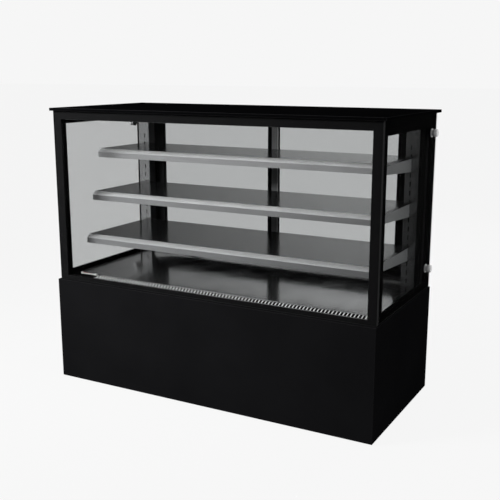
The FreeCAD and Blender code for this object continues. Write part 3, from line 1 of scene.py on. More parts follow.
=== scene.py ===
# %% [markdown]
# # A refrigerated bakery display case
# The CAD model already holds every sheet, pane and shelf of the case at its right size. This
# lesson dresses it: folded sheet metal gets the small radii that catch light, each finish gets a
# procedural material, and the trim that the CAD model leaves out is modelled here.

import bmesh
import bpy
import math
from mathutils import Matrix, Vector


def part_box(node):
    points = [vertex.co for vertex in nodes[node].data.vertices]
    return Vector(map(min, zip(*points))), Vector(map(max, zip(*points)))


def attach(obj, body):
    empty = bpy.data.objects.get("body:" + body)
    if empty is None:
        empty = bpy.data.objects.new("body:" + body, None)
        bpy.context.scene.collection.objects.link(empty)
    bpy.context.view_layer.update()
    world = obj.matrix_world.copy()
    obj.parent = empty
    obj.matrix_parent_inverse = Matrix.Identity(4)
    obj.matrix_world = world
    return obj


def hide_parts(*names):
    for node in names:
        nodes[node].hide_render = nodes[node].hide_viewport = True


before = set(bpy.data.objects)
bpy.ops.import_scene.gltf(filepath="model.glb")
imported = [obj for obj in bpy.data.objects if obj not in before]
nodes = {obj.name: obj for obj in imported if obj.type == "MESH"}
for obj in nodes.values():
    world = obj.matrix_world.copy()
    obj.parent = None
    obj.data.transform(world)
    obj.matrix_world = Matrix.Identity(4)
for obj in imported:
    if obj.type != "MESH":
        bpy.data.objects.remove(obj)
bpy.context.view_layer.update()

# %% [markdown]
# ## Helpers for shapes
# A node's mesh is loose triangles, one set per flat face. Joined and dissolved into plain faces
# it can be bevelled like a hand-made mesh. The bevel is what separates folded steel from a paper
# cut-out: a real fold or a ground glass edge always has a radius, and only a radius can show a
# thin line of light. Each bevelled face is also marked with an `edge` attribute, so that a paint
# can be a little thinner and lighter there.

# %% Clean copy of a node
MM = 0.001
FLAT = math.radians(0.5)
SHARP = math.radians(50)


def clean_copy(node, join=True):
    """A bmesh of one node with its triangles merged, and joined into faces if wanted."""
    mesh = bmesh.new()
    mesh.from_mesh(nodes[node].data)
    bmesh.ops.remove_doubles(mesh, verts=mesh.verts, dist=0.001 * MM)
    if join:
        bmesh.ops.dissolve_limit(mesh, angle_limit=FLAT, verts=mesh.verts, edges=mesh.edges)
    mesh.normal_update()
    return mesh


print("top plate as faces:", len(clean_copy("top_plate").faces))

# %% Rounding of sharp edges
def round_sharp_edges(mesh, radius, segments=2, wanted=None):
    """Bevel the outward edges that turn sharply, and mark the new faces as edge."""
    mark = mesh.faces.layers.float.get("edge") or mesh.faces.layers.float.new("edge")
    sharp = [edge for edge in mesh.edges
             if edge.is_convex and edge.calc_face_angle(0) > SHARP
             and (wanted is None or wanted(edge))]
    made = bmesh.ops.bevel(mesh, geom=sharp, offset=radius, offset_type="OFFSET",
                           segments=segments, profile=0.5, affect="EDGES",
                           clamp_overlap=True, material=-1)
    for face in made["faces"]:
        face[mark] = 1.0
    return len(sharp)


print("edges that turn by more than", round(math.degrees(SHARP)), "degrees can be rounded")


# %% From bmesh to a finished object
def make_object(name, mesh, body, material, stands_for=(), smooth=True):
    """Turn a bmesh into a piece that rides on a body of the case."""
    data = bpy.data.meshes.new(name)
    mesh.to_mesh(data)
    mesh.free()
    data.materials.append(material)
    for face in data.polygons:
        face.use_smooth = smooth
    data.set_sharp_from_angle(angle=SHARP)
    piece = bpy.data.objects.new(name, data)
    bpy.context.scene.collection.objects.link(piece)
    if smooth:
        weigh = piece.modifiers.new("even_shading", "WEIGHTED_NORMAL")
        weigh.keep_sharp = True
        weigh.weight = 100
    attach(piece, body)
    if stands_for:
        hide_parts(*stands_for)
    return piece


def finish_node(node, material, radius, body="case", slot=None, segments=2):
    """Replace a node by a copy whose edges are rounded."""
    mesh = clean_copy(node)
    count = round_sharp_edges(mesh, radius, segments)
    slot = slot or nodes[node].data.materials[0].name.split(".")[0]
    piece = make_object(f"{node}_finished", mesh, body, material, stands_for=(node,))
    print(f"{node}: {count} edges rounded, {len(piece.data.polygons)} faces")
    return piece


def corners(node):
    """Lowest and highest corner of a node."""
    low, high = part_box(node)
    return Vector(low), Vector(high)


print("top corner of the top plate:", [round(v, 3) for v in corners("top_plate")[1]])


# %% Blocks and turned shapes
AXES = {"X": Vector((1, 0, 0)), "Y": Vector((0, 1, 0)), "Z": Vector((0, 0, 1))}


def add_block(mesh, low, high):
    """A rectangular block between two corners."""
    low, high = Vector(low), Vector(high)
    place = Matrix.Translation((low + high) / 2) @ Matrix.Diagonal((*(high - low), 1.0))
    return bmesh.ops.create_cube(mesh, size=1.0, matrix=place)["verts"]


def make_blocks(name, blocks, radius, body, material):
    """A piece of one or more blocks with rounded edges."""
    mesh = bmesh.new()
    for low, high in blocks:
        add_block(mesh, low, high)
    round_sharp_edges(mesh, radius)
    return make_object(name, mesh, body, material)


def turned(place, degrees, axis):
    """The matrix of a place and a turn there."""
    return Matrix.Translation(place) @ Matrix.Rotation(math.radians(degrees), 4, axis)


def spin_wire(mesh, radius, sides, place, centre, axis, angle, steps):
    """Round wire bent about an axis, all the way round or part of it."""
    ring = bmesh.ops.create_circle(mesh, radius=radius, segments=sides, matrix=place)["verts"]
    loop = list({edge for vert in ring for edge in vert.link_edges})
    bmesh.ops.spin(mesh, geom=ring + loop, cent=centre, axis=axis, angle=angle, steps=steps,
                   use_merge=angle > math.pi, use_duplicate=False)


def add_turned(mesh, profile, centre, axis, steps=32):
    """Spin a profile of (along, radius) points round an axis through a point."""
    along = AXES[axis.strip("-")] * (-1 if axis.startswith("-") else 1)
    across = AXES["Z"] if axis.strip("-") != "Z" else AXES["X"]
    centre = Vector(centre)
    points = [mesh.verts.new(centre + along * a + across * r) for a, r in profile]
    lines = [mesh.edges.new(pair) for pair in zip(points, points[1:])]
    bmesh.ops.spin(mesh, geom=points + lines, cent=centre, axis=along,
                   angle=math.tau, steps=steps, use_merge=True, use_duplicate=False)


def tidy(mesh):
    """Merge doubles, close the poles and turn every face outwards."""
    bmesh.ops.remove_doubles(mesh, verts=mesh.verts, dist=0.002 * MM)
    bmesh.ops.dissolve_degenerate(mesh, edges=mesh.edges, dist=0.001 * MM)
    bmesh.ops.recalc_face_normals(mesh, faces=mesh.faces)


def scaled(points):
    """Profile points from millimetres to metres."""
    return [(a * MM, r * MM) for a, r in points]


def add_ring_frame(mesh, low, high, width):
    """A picture frame across Y: outer corners and the width of its bars."""
    block = add_block(mesh, low, high)
    mesh.normal_update()
    faces = list({face for vert in block for face in vert.link_faces
                  if abs(face.normal.y) > 0.9})
    bmesh.ops.inset_individual(mesh, faces=faces, thickness=width, use_even_offset=True)
    rims = [edge for face in faces for edge in face.edges]
    bmesh.ops.delete(mesh, geom=faces, context="FACES_ONLY")
    bmesh.ops.bridge_loops(mesh, edges=rims)


def add_plate(mesh, low, high, y):
    """One upright face that looks to +Y."""
    place = (turned(((low[0] + high[0]) / 2, y, (low[1] + high[1]) / 2), -90, "X")
             @ Matrix.Diagonal(((high[0] - low[0]) / 2, (high[1] - low[1]) / 2, 1.0, 1.0)))
    made = bmesh.ops.create_grid(mesh, x_segments=1, y_segments=1, size=1.0, matrix=place)
    mesh.normal_update()
    return list({face for vert in made["verts"] for face in vert.link_faces})[0]


print("shape helpers ready for", ", ".join(AXES))


# %% [markdown]
# ## Helpers for materials
# A Principled shader with one colour looks like plastic clip-art. What makes a surface believable
# is small variation: paint that clouds a little, rolled steel with a direction, glass that is not
# quite clean. These effects are needed by several finishes, so each is a node group with named
# inputs. Everything is laid out on Object coordinates, which for this case are plain metres.

# %% Small node tools
def new_group(name, inputs, outputs):
    """An empty shader node group: inputs are (name, kind, default), outputs (name, kind)."""
    group = bpy.data.node_groups.new(name, "ShaderNodeTree")
    for label, kind, default in inputs:
        socket = group.interface.new_socket(label, in_out="INPUT", socket_type=kind)
        if default is not None:
            socket.default_value = default
    for label, kind in outputs:
        group.interface.new_socket(label, in_out="OUTPUT", socket_type=kind)
    start = group.nodes.new("NodeGroupInput")
    end = group.nodes.new("NodeGroupOutput")
    return group, start, end


def add_node(tree, kind, values=None, **settings):
    """One node with its settings, and with values or links for its inputs."""
    node = tree.nodes.new(kind)
    for key, setting in settings.items():
        setattr(node, key, setting)
    for key, entry in (values or {}).items():
        if isinstance(entry, bpy.types.NodeSocket):
            tree.links.new(entry, node.inputs[key])
        else:
            node.inputs[key].default_value = entry
    return node


def remap(tree, source, low, high, out_low, out_high):
    """Stretch a value from one range to another, held at the ends."""
    return add_node(tree, "ShaderNodeMapRange", {
        "Value": source, "From Min": low, "From Max": high,
        "To Min": out_low, "To Max": out_high}).outputs["Result"]


def maths(tree, operation, first, second):
    """Two values combined by one operation."""
    return add_node(tree, "ShaderNodeMath", {0: first, 1: second},
                    operation=operation).outputs[0]


print("node tools ready in Blender", bpy.app.version_string)


# %% Node group: soft clouds
FLOAT, VECTOR = "NodeSocketFloat", "NodeSocketVector"


def build_clouds():
    """Broad, soft patches between two values."""
    group, start, end = new_group(
        "soft_clouds",
        [("Vector", VECTOR, None), ("Scale", FLOAT, 4.0), ("Low", FLOAT, 0.0),
         ("High", FLOAT, 1.0)], [("Value", FLOAT)])
    noise = add_node(group, "ShaderNodeTexNoise", {
        "Vector": start.outputs["Vector"], "Scale": start.outputs["Scale"],
        "Detail": 3.0, "Roughness": 0.55})
    value = remap(group, noise.outputs["Fac"], 0.3, 0.7, start.outputs["Low"],
                  start.outputs["High"])
    group.links.new(value, end.inputs["Value"])
    return group


clouds_group = build_clouds()
print("group", clouds_group.name, "with", len(clouds_group.nodes), "nodes")

# %% [markdown]
# Powder coat is baked plastic dust: it flows into a fine, even ripple that is often called orange
# peel. Two noises of different size give the ripple and a faint speckle of dust grains.

# %% Node group: powder coat ripple
def build_powder():
    """Height of the ripple and a speckle mask."""
    group, start, end = new_group(
        "powder_ripple",
        [("Vector", VECTOR, None), ("Size", FLOAT, 420.0)],
        [("Height", FLOAT), ("Speckle", FLOAT)])
    ripple = add_node(group, "ShaderNodeTexNoise", {
        "Vector": start.outputs["Vector"], "Scale": start.outputs["Size"],
        "Detail": 2.0, "Roughness": 0.6})
    grain_size = maths(group, "MULTIPLY", start.outputs["Size"], 2.6)
    grain = add_node(group, "ShaderNodeTexVoronoi", {
        "Vector": start.outputs["Vector"], "Scale": grain_size}, feature="F1")
    speckle = remap(group, grain.outputs["Distance"], 0.05, 0.35, 1.0, 0.0)
    group.links.new(ripple.outputs["Fac"], end.inputs["Height"])
    group.links.new(speckle, end.inputs["Speckle"])
    return group


powder_group = build_powder()
print("group", powder_group.name, "with", len(powder_group.nodes), "nodes")

# %% [markdown]
# Brushed and rolled metal has fine lines in one direction. A noise that is stretched a hundred
# times along that direction gives them. The stretch is an input, because shelves are brushed from
# left to right and posts from top to bottom.

# %% Node group: brushed lines
def build_brushing():
    """Fine lines along the direction in which Stretch is small."""
    group, start, end = new_group(
        "brushed_lines",
        [("Vector", VECTOR, None), ("Stretch", VECTOR, (4.0, 900.0, 900.0))],
        [("Lines", FLOAT), ("Patches", FLOAT)])
    spread = add_node(group, "ShaderNodeVectorMath", {
        0: start.outputs["Vector"], 1: start.outputs["Stretch"]}, operation="MULTIPLY")
    lines = add_node(group, "ShaderNodeTexNoise", {
        "Vector": spread.outputs[0], "Scale": 1.0, "Detail": 4.0, "Roughness": 0.7})
    patches = add_node(group, "ShaderNodeTexNoise", {
        "Vector": start.outputs["Vector"], "Scale": 9.0, "Detail": 3.0, "Roughness": 0.5})
    group.links.new(lines.outputs["Fac"], end.inputs["Lines"])
    group.links.new(patches.outputs["Fac"], end.inputs["Patches"])
    return group


brushing_group = build_brushing()
print("group", brushing_group.name, "with", len(brushing_group.nodes), "nodes")


# %% Start of every material
def new_material(name, **shader_values):
    """A material with its Principled shader and Object coordinates ready."""
    material = bpy.data.materials.new(name)
    material.use_nodes = True
    tree = material.node_tree
    shader = tree.nodes["Principled BSDF"]
    for key, entry in shader_values.items():
        shader.inputs[key.replace("_", " ")].default_value = entry
    place = tree.nodes.new("ShaderNodeTexCoord").outputs["Object"]
    return material, tree, shader, place


def use_group(tree, group, values):
    """Place a node group in a material."""
    return add_node(tree, "ShaderNodeGroup", values, node_tree=group)


def clouds(tree, place, scale, low=0.0, high=1.0):
    """A value that drifts from low to high in soft clouds."""
    return use_group(tree, clouds_group, {
        "Vector": place, "Scale": scale, "Low": low, "High": high}).outputs["Value"]


def feed(tree, shader, **sources):
    """Link sources to the shader's inputs of these names."""
    for key, source in sources.items():
        tree.links.new(source, shader.inputs[key.replace("_", " ")])


def blend_colours(tree, amount, first, second):
    """Colour between two colours by an amount."""
    mix = tree.nodes.new("ShaderNodeMix")
    mix.data_type = "RGBA"
    tree.links.new(amount, mix.inputs["Factor"])
    for socket, colour in ((mix.inputs[6], first), (mix.inputs[7], second)):
        if isinstance(colour, bpy.types.NodeSocket):
            tree.links.new(colour, socket)
        else:
            socket.default_value = (*colour, 1.0)
    return mix.outputs[2]


def add_bump(tree, shader, height, strength, distance):
    """Bump that feeds the shader's normal."""
    bump = add_node(tree, "ShaderNodeBump", {
        "Height": height, "Strength": strength, "Distance": distance})
    tree.links.new(bump.outputs["Normal"], shader.inputs["Normal"])


def mask(tree, name="edge"):
    """A face attribute of a piece; edge is 1 on the edges that were rounded, else 0."""
    return add_node(tree, "ShaderNodeAttribute", attribute_name=name).outputs["Fac"]


def rays(tree, path, *kinds):
    """1 for light rays of these kinds, else 0."""
    found = path.outputs[f"Is {kinds[0]} Ray"]
    for kind in kinds[1:]:
        found = maths(tree, "MAXIMUM", found, path.outputs[f"Is {kind} Ray"])
    return found


def mix_surface(tree, share, first, second):
    """A surface that passes from the first shader to the second by a share."""
    mix = tree.nodes.new("ShaderNodeMixShader")
    for source, socket in zip((share, first, second), mix.inputs):
        tree.links.new(source, socket)
    tree.links.new(mix.outputs["Shader"], tree.nodes["Material Output"].inputs["Surface"])


print("groups for finishes:", [group.name for group in bpy.data.node_groups])

# %% [markdown]
# ## Painted steel
# The base is folded sheet with a satin black powder coat, the rear frame and the doors wear a
# slightly lighter black, and the shelf brackets a light grey. All three are the same recipe with
# other values: a main colour, a slightly different colour in soft clouds, thin lighter paint on
# the folds, and the ripple as bump. The black coats have no specular, as they drink nearly all
# light.

# %% Recipe for paint
def paint(name, colour, second, edge_colour, roughness, specular, ripple=0.25):
    """Powder coat in one colour."""
    material, tree, shader, place = new_material(name, Specular_IOR_Level=specular)
    powder = use_group(tree, powder_group, {"Vector": place})
    body = blend_colours(tree, clouds(tree, place, 3.5), colour, second)
    feed(tree, shader, Base_Color=blend_colours(tree, mask(tree), body, edge_colour),
         Roughness=clouds(tree, place, 14.0, roughness - 0.05, roughness + 0.07))
    add_bump(tree, shader, powder.outputs["Height"], ripple, 0.05 * MM)
    return material


black_paint = paint("black_powder_coat", (0.0046, 0.0046, 0.0050), (0.0058, 0.0058, 0.0063),
                    (0.012, 0.012, 0.0125), 0.5, 0.0)
door_paint = paint("black_door_coat", (0.010, 0.010, 0.0104), (0.014, 0.014, 0.0145),
                   (0.03, 0.03, 0.031), 0.5, 0.0)
bracket_paint = paint("bracket_grey_coat", (0.46, 0.462, 0.465), (0.52, 0.522, 0.525),
                      (0.62, 0.62, 0.63), 0.45, 0.25)
print("paints:", black_paint.name, door_paint.name, bracket_paint.name)

# %% [markdown]
# ## Metals
# The shelves are brushed stainless sheet, with painted shade on the flat and a painted highlight
# on the nose. Zinc-coated sheet, used where nobody looks, shows crystals of zinc that are called
# spangle: a Voronoi texture gives each crystal its own shade.
# Fins, pipes and caps follow with their own colours; the near-white of the stud caps is painted
# reflection.

# %% Recipe for brushed metal
def brushing(tree, place, stretch, full=1.0):
    """Lines as a tone from 0 to full, the plain lines, and broad patches."""
    made = use_group(tree, brushing_group, {"Vector": place, "Stretch": stretch}).outputs
    return remap(tree, made["Lines"], 0.25, 0.75, 0.0, full), made["Lines"], made["Patches"]


def patchy(tree, patches, roughness):
    """Roughness that varies a little from patch to patch."""
    return remap(tree, patches, 0.3, 0.7, roughness - 0.05, roughness + 0.06)


def brushed_metal(name, colour, dark, stretch, roughness, metallic=1.0, bump=0.12):
    """Metal with fine lines in one direction."""
    material, tree, shader, place = new_material(name, Metallic=metallic)
    tone, lines, patches = brushing(tree, place, stretch)
    body = blend_colours(tree, tone, dark, colour)
    bright = blend_colours(tree, mask(tree), body, tuple(min(1, c * 1.15) for c in colour))
    feed(tree, shader, Base_Color=bright, Roughness=patchy(tree, patches, roughness))
    add_bump(tree, shader, lines, bump, 0.03 * MM)
    return material


ALONG_X, ALONG_Z, TURNED = (4.0, 900.0, 900.0), (900.0, 900.0, 4.0), (260.0, 40.0, 40.0)
stainless = brushed_metal("stainless_brushed", (0.66, 0.66, 0.67), (0.52, 0.52, 0.53),
                          ALONG_X, 0.30)
deck_metal = brushed_metal("deck_polished_sheet", (0.52, 0.52, 0.525), (0.44, 0.44, 0.445),
                           ALONG_X, 0.16, metallic=0.95)
fin_metal = brushed_metal("aluminium_fins", (0.60, 0.61, 0.62), (0.45, 0.46, 0.47),
                          ALONG_Z, 0.38)
copper = brushed_metal("copper_tube", (0.72, 0.36, 0.22), (0.55, 0.24, 0.14),
                       (60.0, 60.0, 60.0), 0.3)


def shelf_sheet_painted_light():
    """Satin sheet; band is 0 on the flat, painted dark as shade, 0.5 on the lip and 1 on the nose,
    painted light as a highlight.
    """
    material, tree, shader, place = new_material("shelf_sheet_light_and_shade")
    tone, lines, patches = brushing(tree, place, ALONG_X, full=0.22)
    band = mask(tree, "band")
    # Painted light: the flat is painted dark as shade and reflection of the shelf above, the nose
    # light as a highlight.
    ramp = add_node(tree, "ShaderNodeValToRGB", {"Fac": band})
    stops = ramp.color_ramp.elements
    stops.new(0.5)
    for stop, position, grey in zip(stops, (0.0, 0.5, 1.0), (
            (0.095, 0.095, 0.097), (0.36, 0.36, 0.365), (0.78, 0.78, 0.785))):
        stop.position, stop.color = position, (*grey, 1)
    satin = remap(tree, patches, 0.3, 0.7, 0.30, 0.42)
    feed(tree, shader, Metallic=remap(tree, band, 0.0, 0.5, 0.90, 0.45),
         Base_Color=blend_colours(tree, tone, ramp.outputs["Color"], (0.12, 0.12, 0.12)),
         Roughness=remap(tree, band, 0.0, 0.4, 0.17, satin))
    add_bump(tree, shader, lines, 0.12, 0.03 * MM)
    return material


shelf_metal_painted_light = shelf_sheet_painted_light()


def sheet_with_painted_shade(name, colour, dark, stretch, roughness, metallic):
    """Brushed sheet with painted shade: what the inside attribute marks is nearly black and has no
    gloss.
    """
    material, tree, shader, place = new_material(name, Specular_IOR_Level=0.0)
    tone, lines, patches = brushing(tree, place, stretch)
    inside = mask(tree, "inside")
    body = blend_colours(tree, tone, dark, colour)
    feed(tree, shader, Base_Color=blend_colours(tree, inside, body, (0.003, 0.003, 0.003)),
         Metallic=remap(tree, inside, 0.0, 1.0, metallic, 0.0),
         Roughness=patchy(tree, patches, roughness))
    add_bump(tree, shader, lines, 0.1, 0.03 * MM)
    return material


grille_metal = sheet_with_painted_shade("grille_sheet_painted_shade", (0.54, 0.54, 0.545),
                                   (0.46, 0.46, 0.465), ALONG_X, 0.29, 0.60)
column_metal = sheet_with_painted_shade("column_sheet_painted_shade", (0.46, 0.46, 0.465),
                                   (0.37, 0.37, 0.375), ALONG_Z, 0.20, 1.0)
bar_metal = brushed_metal("comb_bar_bright", (0.95, 0.95, 0.95), (0.88, 0.88, 0.88),
                          ALONG_X, 0.35, metallic=0.1, bump=0.05)
# Painted reflection: the chrome caps get a near-white, mostly diffuse colour in place of the light
# they mirror.
cap_metal = brushed_metal("stud_cap_painted_sheen", (0.90, 0.90, 0.905), (0.80, 0.80, 0.805),
                          TURNED, 0.22, metallic=0.30, bump=0.03)
print("metals:", stainless.name, fin_metal.name, copper.name, shelf_metal_painted_light.name)

# %% Zinc spangle
def zinc_sheet():
    """Galvanised sheet with crystals a few millimetres across."""
    material, tree, shader, place = new_material("zinc_spangle", Metallic=0.85)
    crystals = add_node(tree, "ShaderNodeTexVoronoi", {"Vector": place, "Scale": 90.0},
                        feature="F1")
    shade = add_node(tree, "ShaderNodeSeparateColor", {"Color": crystals.outputs["Color"]})
    body = blend_colours(tree, shade.outputs[0], (0.38, 0.39, 0.40), (0.58, 0.59, 0.60))
    feed(tree, shader, Base_Color=body,
         Roughness=remap(tree, shade.outputs[1], 0.0, 1.0, 0.32, 0.5))
    add_bump(tree, shader, shade.outputs[0], 0.1, 0.05 * MM)
    return material


zinc = zinc_sheet()
print("zinc sheet:", zinc.name)

# %% [markdown]
# ## Glass
# The front and the sides are sealed double glazing, two panes with black edging between them, and
# each door has one pane. A clear pane is a Principled shader with full transmission. Light from a
# lamp cannot find its way through such a pane on its own, so shadow and diffuse rays are let
# straight through by a transparent shader of the same tint: the goods inside are lit, and the
# glass still bends and mirrors for the eye. The index is set far below that of real glass, most
# of all at the sides, which are seen at a flat angle: a true index would cover what stands behind
# them with mirrored wall. The tint varies a little, as on wiped glass.

# %% Recipe for clear glass
def clear_pane(name, tint, second, bend):
    """Float glass with a faint, uneven film."""
    material, tree, shader, place = new_material(
        name, Transmission_Weight=1.0, IOR=bend, Roughness=0.0)
    colour = blend_colours(tree, clouds(tree, place, 1.1), tint, second)
    feed(tree, shader, Base_Color=colour)
    through = add_node(tree, "ShaderNodeBsdfTransparent", {"Color": colour})
    path = tree.nodes.new("ShaderNodeLightPath")
    mix_surface(tree, rays(tree, path, "Shadow", "Diffuse"), shader.outputs["BSDF"],
                through.outputs["BSDF"])
    return material


unit_glass = clear_pane("double_glazing_pane", (0.846, 0.85, 0.85), (0.854, 0.858, 0.858), 1.03)
side_glass = clear_pane("side_glazing_pane", (0.820, 0.824, 0.824), (0.828, 0.832, 0.832), 1.006)
door_glass = clear_pane("door_pane_glass", (0.62, 0.63, 0.63), (0.632, 0.642, 0.642), 1.03)
tube_glass = clear_pane("thermometer_tube_glass", (0.97, 0.975, 0.97), (0.99, 0.99, 0.99), 1.3)
print("glass:", unit_glass.name, door_glass.name, tube_glass.name)

# %% [markdown]
# ## Black glass, print, rubber and plastics
# The top is a black glass plate, and the borders of the glazing are black print and sealant. They
# are nearly black, but not the same black: each has its own clouding and its own sheen. The print
# on the side units is the front's print made darker, as painted shade.

# %% Recipe for plain dark and light finishes
def moulded(name, colour, second, roughness, specular, scale=6.0, grain=900.0, bump=0.1,
            edge_colour=None):
    """Plastic, rubber or print: two close colours in clouds, and a fine grain."""
    material, tree, shader, place = new_material(name, Specular_IOR_Level=specular)
    body = blend_colours(tree, clouds(tree, place, scale), colour, second)
    if edge_colour:
        body = blend_colours(tree, mask(tree), body, edge_colour)
    feed(tree, shader, Base_Color=body,
         Roughness=clouds(tree, place, scale * 5, roughness - 0.04, roughness + 0.06))
    powder = use_group(tree, powder_group, {"Vector": place, "Size": grain})
    add_bump(tree, shader, powder.outputs["Speckle"], bump, 0.02 * MM)
    return material


def light_up(material, colour, strength):
    """Let a finish give off light of its own."""
    shader = material.node_tree.nodes["Principled BSDF"]
    shader.inputs["Emission Color"].default_value = (*colour, 1.0)
    shader.inputs["Emission Strength"].default_value = strength


top_glass = moulded("black_glass_top", (0.0010, 0.0010, 0.0012), (0.0018, 0.0018, 0.0020),
                    0.3, 0.0, scale=2.0, bump=0.02, edge_colour=(0.010, 0.010, 0.0105))
print_black = moulded("black_edge_print", (0.0072, 0.0072, 0.0075), (0.0086, 0.0086, 0.0089),
                      0.5, 0.0, scale=3.0, bump=0.03)
# Painted shade: the same print as on the front, made darker against the lamp at the right.
side_print = moulded("black_side_print_painted_shade", (0.0030, 0.0030, 0.0031), (0.0040, 0.0040, 0.0041),
                     0.5, 0.0, scale=3.0, bump=0.03)
rubber = moulded("matt_rubber", (0.008, 0.008, 0.008), (0.013, 0.013, 0.013), 0.75, 0.2,
                 scale=40.0, grain=1500.0, bump=0.3)
black_plastic = moulded("black_fine_plastic", (0.010, 0.010, 0.0105), (0.016, 0.016, 0.0165),
                        0.5, 0.25, scale=12.0, edge_colour=(0.03, 0.03, 0.031))
white_plastic = moulded("white_gloss_plastic", (0.74, 0.74, 0.72), (0.80, 0.80, 0.78), 0.25,
                        0.5, scale=10.0, bump=0.03)
lit_opal = moulded("opal_diffuser_lit", (0.80, 0.80, 0.78), (0.86, 0.86, 0.84), 0.4, 0.4,
                   scale=8.0, bump=0.03)
light_up(lit_opal, (1.0, 0.98, 0.95), 2.0)
dark_satin = brushed_metal("stud_boss_satin", (0.42, 0.42, 0.425), (0.34, 0.34, 0.345),
                           TURNED, 0.28, metallic=0.3, bump=0.03)
seal_grey = moulded("corner_silicone", (0.024, 0.024, 0.0243), (0.029, 0.029, 0.0294), 0.6, 0.0,
                    scale=20.0)
mat_black = moulded("filter_mat", (0.004, 0.004, 0.004), (0.007, 0.007, 0.007), 0.9, 0.0,
                    scale=60.0, grain=1200.0, bump=0.4)
ink_black = moulded("scale_ink", (0.010, 0.010, 0.010), (0.016, 0.016, 0.016), 0.6, 0.1)
spirit_red = moulded("thermometer_spirit", (0.45, 0.02, 0.02), (0.55, 0.03, 0.03), 0.3, 0.5)
digit_red = moulded("display_digits", (0.55, 0.02, 0.02), (0.60, 0.03, 0.03), 0.4, 0.3)
light_up(digit_red, (1.0, 0.06, 0.03), 1.2)
screen_dark = moulded("smoked_screen", (0.006, 0.004, 0.004), (0.009, 0.005, 0.005), 0.12, 0.5,
                      bump=0.01)
stile_grey = moulded("stile_cover_grey", (0.42, 0.42, 0.424), (0.48, 0.48, 0.484), 0.5, 0.1,
                     scale=14.0)
comb_grey = moulded("comb_strip_dark", (0.16, 0.16, 0.162), (0.19, 0.19, 0.192), 0.6, 0.0,
                     scale=14.0)
stile_light = moulded("stile_cover_light", (0.86, 0.86, 0.865), (0.90, 0.90, 0.905), 0.5, 0.1,
                      scale=14.0)
pile_grey = moulded("brush_pile", (0.05, 0.05, 0.052), (0.09, 0.09, 0.092), 0.85, 0.1,
                    scale=300.0, grain=2500.0, bump=0.5)
liner = moulded("liner_plastic", (0.50, 0.51, 0.52), (0.56, 0.57, 0.58), 0.5, 0.3, scale=5.0)
enamel = moulded("compressor_enamel", (0.010, 0.010, 0.010), (0.018, 0.018, 0.018), 0.32, 0.5,
                 scale=9.0, grain=300.0, bump=0.25)
print("dark and light finishes:", top_glass.name, print_black.name, rubber.name, liner.name)

# %% [markdown]
# ## Which node wears what
# Nodes whose CAD shape is already right keep their mesh and only get a better material.

# %% Materials for the nodes that stay
KEPT = {
    "front_glass_panes": unit_glass, "side_glass_panes": side_glass,
    "door_left_pane": door_glass, "door_right_pane": door_glass,
    "front_glass_edge_frame": print_black, "side_glass_edge_frames": side_print,
    "glass_seat_strips": rubber,
    "base_floor": zinc, "corner_posts": zinc, "condenser_shroud": zinc,
    "insulated_tank": liner, "drain_pipe": white_plastic, "drip_tray": stainless,
    "cooler_coil": fin_metal, "condenser_coil": fin_metal, "condenser_fan": fin_metal,
    "cooler_baffle": stainless, "cooler_fan_left": black_plastic,
    "cooler_fan_right": black_plastic, "cooler_fan_motors": enamel,
    "condenser_fan_motor": enamel, "filter_drier": copper,
    "refrigerant_pipes": copper, "light_diffuser": lit_opal, "light_channel": fin_metal,
}
for node, material in KEPT.items():
    data = nodes[node].data
    for index in range(len(data.materials)):
        data.materials[index] = material
print(len(KEPT), "nodes keep their mesh")

# %% [markdown]
# ## The base
# Four folded panels: the radius of a fold in 1.5 mm sheet is about the sheet's own thickness, so
# the outer edges get a bevel of just under a millimetre.

# %% Cladding
for node in ("front_panel", "side_panel_left", "side_panel_right", "rear_panel"):
    finish_node(node, black_paint, 0.6 * MM)

# %% [markdown]
# ## The top and the canopy
# The black glass plate has a ground and polished edge, a bevel of more than a millimetre that
# shows as a fine line of light all round. The canopy under it is a plain insulated panel.

# %% Canopy skin
def two_tone_skin():
    """Black coat, but white on faces that look down into the case."""
    material, tree, shader, place = new_material("canopy_skin", Specular_IOR_Level=0.0,
                                                 Roughness=0.5)
    dark = blend_colours(tree, clouds(tree, place, 4.0), (0.009, 0.009, 0.0093),
                         (0.013, 0.013, 0.0133))
    facing = add_node(tree, "ShaderNodeNewGeometry").outputs["Normal"]
    split = add_node(tree, "ShaderNodeSeparateXYZ", {"Vector": facing})
    down = remap(tree, split.outputs["Z"], -0.9, -0.6, 1.0, 0.0)
    feed(tree, shader, Base_Color=blend_colours(tree, down, dark, (0.72, 0.72, 0.71)))
    powder = use_group(tree, powder_group, {"Vector": place})
    add_bump(tree, shader, powder.outputs["Height"], 0.2, 0.05 * MM)
    return material


canopy_skin = two_tone_skin()
print("canopy skin:", canopy_skin.name)

# %% Top plate and canopy
finish_node("top_plate", top_glass, 1.2 * MM, segments=3)
finish_node("canopy_panel", canopy_skin, 0.8 * MM, slot="foam_liner")

# %% [markdown]
# ## Shelves, brackets and columns
# Stainless shelves with a deep front lip hang on tapered brackets, and the brackets hook into
# slotted columns. Their sheet edges are deburred, which is a very small bevel.

# %% Shelves
SHELVES = ("shelf_lower", "shelf_middle", "shelf_top")


def dress_shelf(node):
    """Finished shelf whose nose and lip are marked as bands for painted highlight and shade."""
    mesh = clean_copy(node)
    band = mesh.faces.layers.float.new("band")
    for face in mesh.faces:
        if face.normal.y < -0.95:
            face[band] = 0.5
        elif face.normal.y < -0.3 and face.normal.z > 0.3:
            face[band] = 1.0
    round_sharp_edges(mesh, 0.5 * MM)
    piece = make_object(f"{node}_finished", mesh, "case", shelf_metal_painted_light,
                        stands_for=(node,))
    print(node, "with", len(piece.data.polygons), "faces")


for node in SHELVES:
    dress_shelf(node)
finish_node("shelf_brackets", bracket_paint, 0.4 * MM)

# %% Columns
LARGE_FACE, INNER_REACH, LONG_EDGE = 0.005, -30 * MM, 60 * MM


